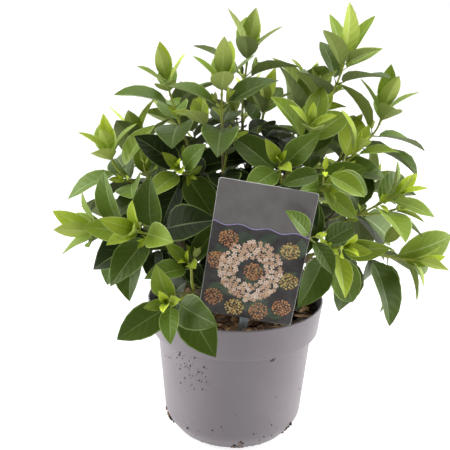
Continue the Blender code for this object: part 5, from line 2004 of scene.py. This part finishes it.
def add_camera():
    """The camera, at the photograph's viewing angle and distance."""
    data = bpy.data.cameras.new("camera")
    data.sensor_width = CAMERA_SENSOR
    data.lens = CAMERA_LENS
    data.clip_start = NEAREST_SEEN
    camera = linked("camera", data)
    tilt = Matrix.Rotation(CAMERA_TILT, 4, "X") @ Matrix.Rotation(CAMERA_ROLL, 4, "Z")
    camera.matrix_world = Matrix.Translation(CAMERA_PLACE) @ tilt
    bpy.context.scene.camera = camera


class LAURUSTINUS_OT_set_studio(bpy.types.Operator):
    """Set the pale floor, the soft light and the camera"""

    bl_idname = "laurustinus.set_studio"
    bl_label = "Set studio"

    def execute(self, context):
        settings = context.scene.laurustinus_studio
        set_world(settings)
        add_floor(settings)
        for name, (place, power) in SOFTBOXES.items():
            add_light(name, place, getattr(settings, power))
        add_camera()
        context.scene.view_settings.view_transform = "Standard"
        return {"FINISHED"}


OPERATORS = (
    LAURUSTINUS_OT_turn_pot,
    LAURUSTINUS_OT_lay_mulch,
    LAURUSTINUS_OT_stick_crumbs,
    LAURUSTINUS_OT_print_label,
    LAURUSTINUS_OT_grow_limbs,
    LAURUSTINUS_OT_grow_stems,
    LAURUSTINUS_OT_grow_leaves,
    LAURUSTINUS_OT_set_studio,
)


class LAURUSTINUS_PT_parts(bpy.types.Panel):
    """Lists the settings and the steps that dress the plant"""

    bl_idname = "LAURUSTINUS_PT_parts"
    bl_label = "Laurustinus"
    bl_space_type = "VIEW_3D"
    bl_region_type = "UI"
    bl_category = "Laurustinus"

    def draw(self, context):
        for key, group in SETTINGS.items():
            box = self.layout.box()
            settings = getattr(context.scene, key)
            for name in group.__annotations__:
                box.prop(settings, name)
        for operator in OPERATORS:
            self.layout.operator(operator.bl_idname)


def register():
    """Registers the settings, the operators and the panel."""
    for kind in (*SETTINGS.values(), *OPERATORS, LAURUSTINUS_PT_parts):
        bpy.utils.register_class(kind)
    for key, group in SETTINGS.items():
        setattr(bpy.types.Scene, key, bpy.props.PointerProperty(type=group))


def unregister():
    """Takes the settings, the operators and the panel away again."""
    for key in SETTINGS:
        delattr(bpy.types.Scene, key)
    for kind in (LAURUSTINUS_PT_parts, *reversed(OPERATORS), *reversed(tuple(SETTINGS.values()))):
        bpy.utils.unregister_class(kind)


def main():
    register()
    for operator in OPERATORS:
        step = operator.bl_idname.split(".")[1]
        getattr(bpy.ops.laurustinus, step)()
    bpy.context.view_layer.update()


if __name__ == "__main__":
    main()
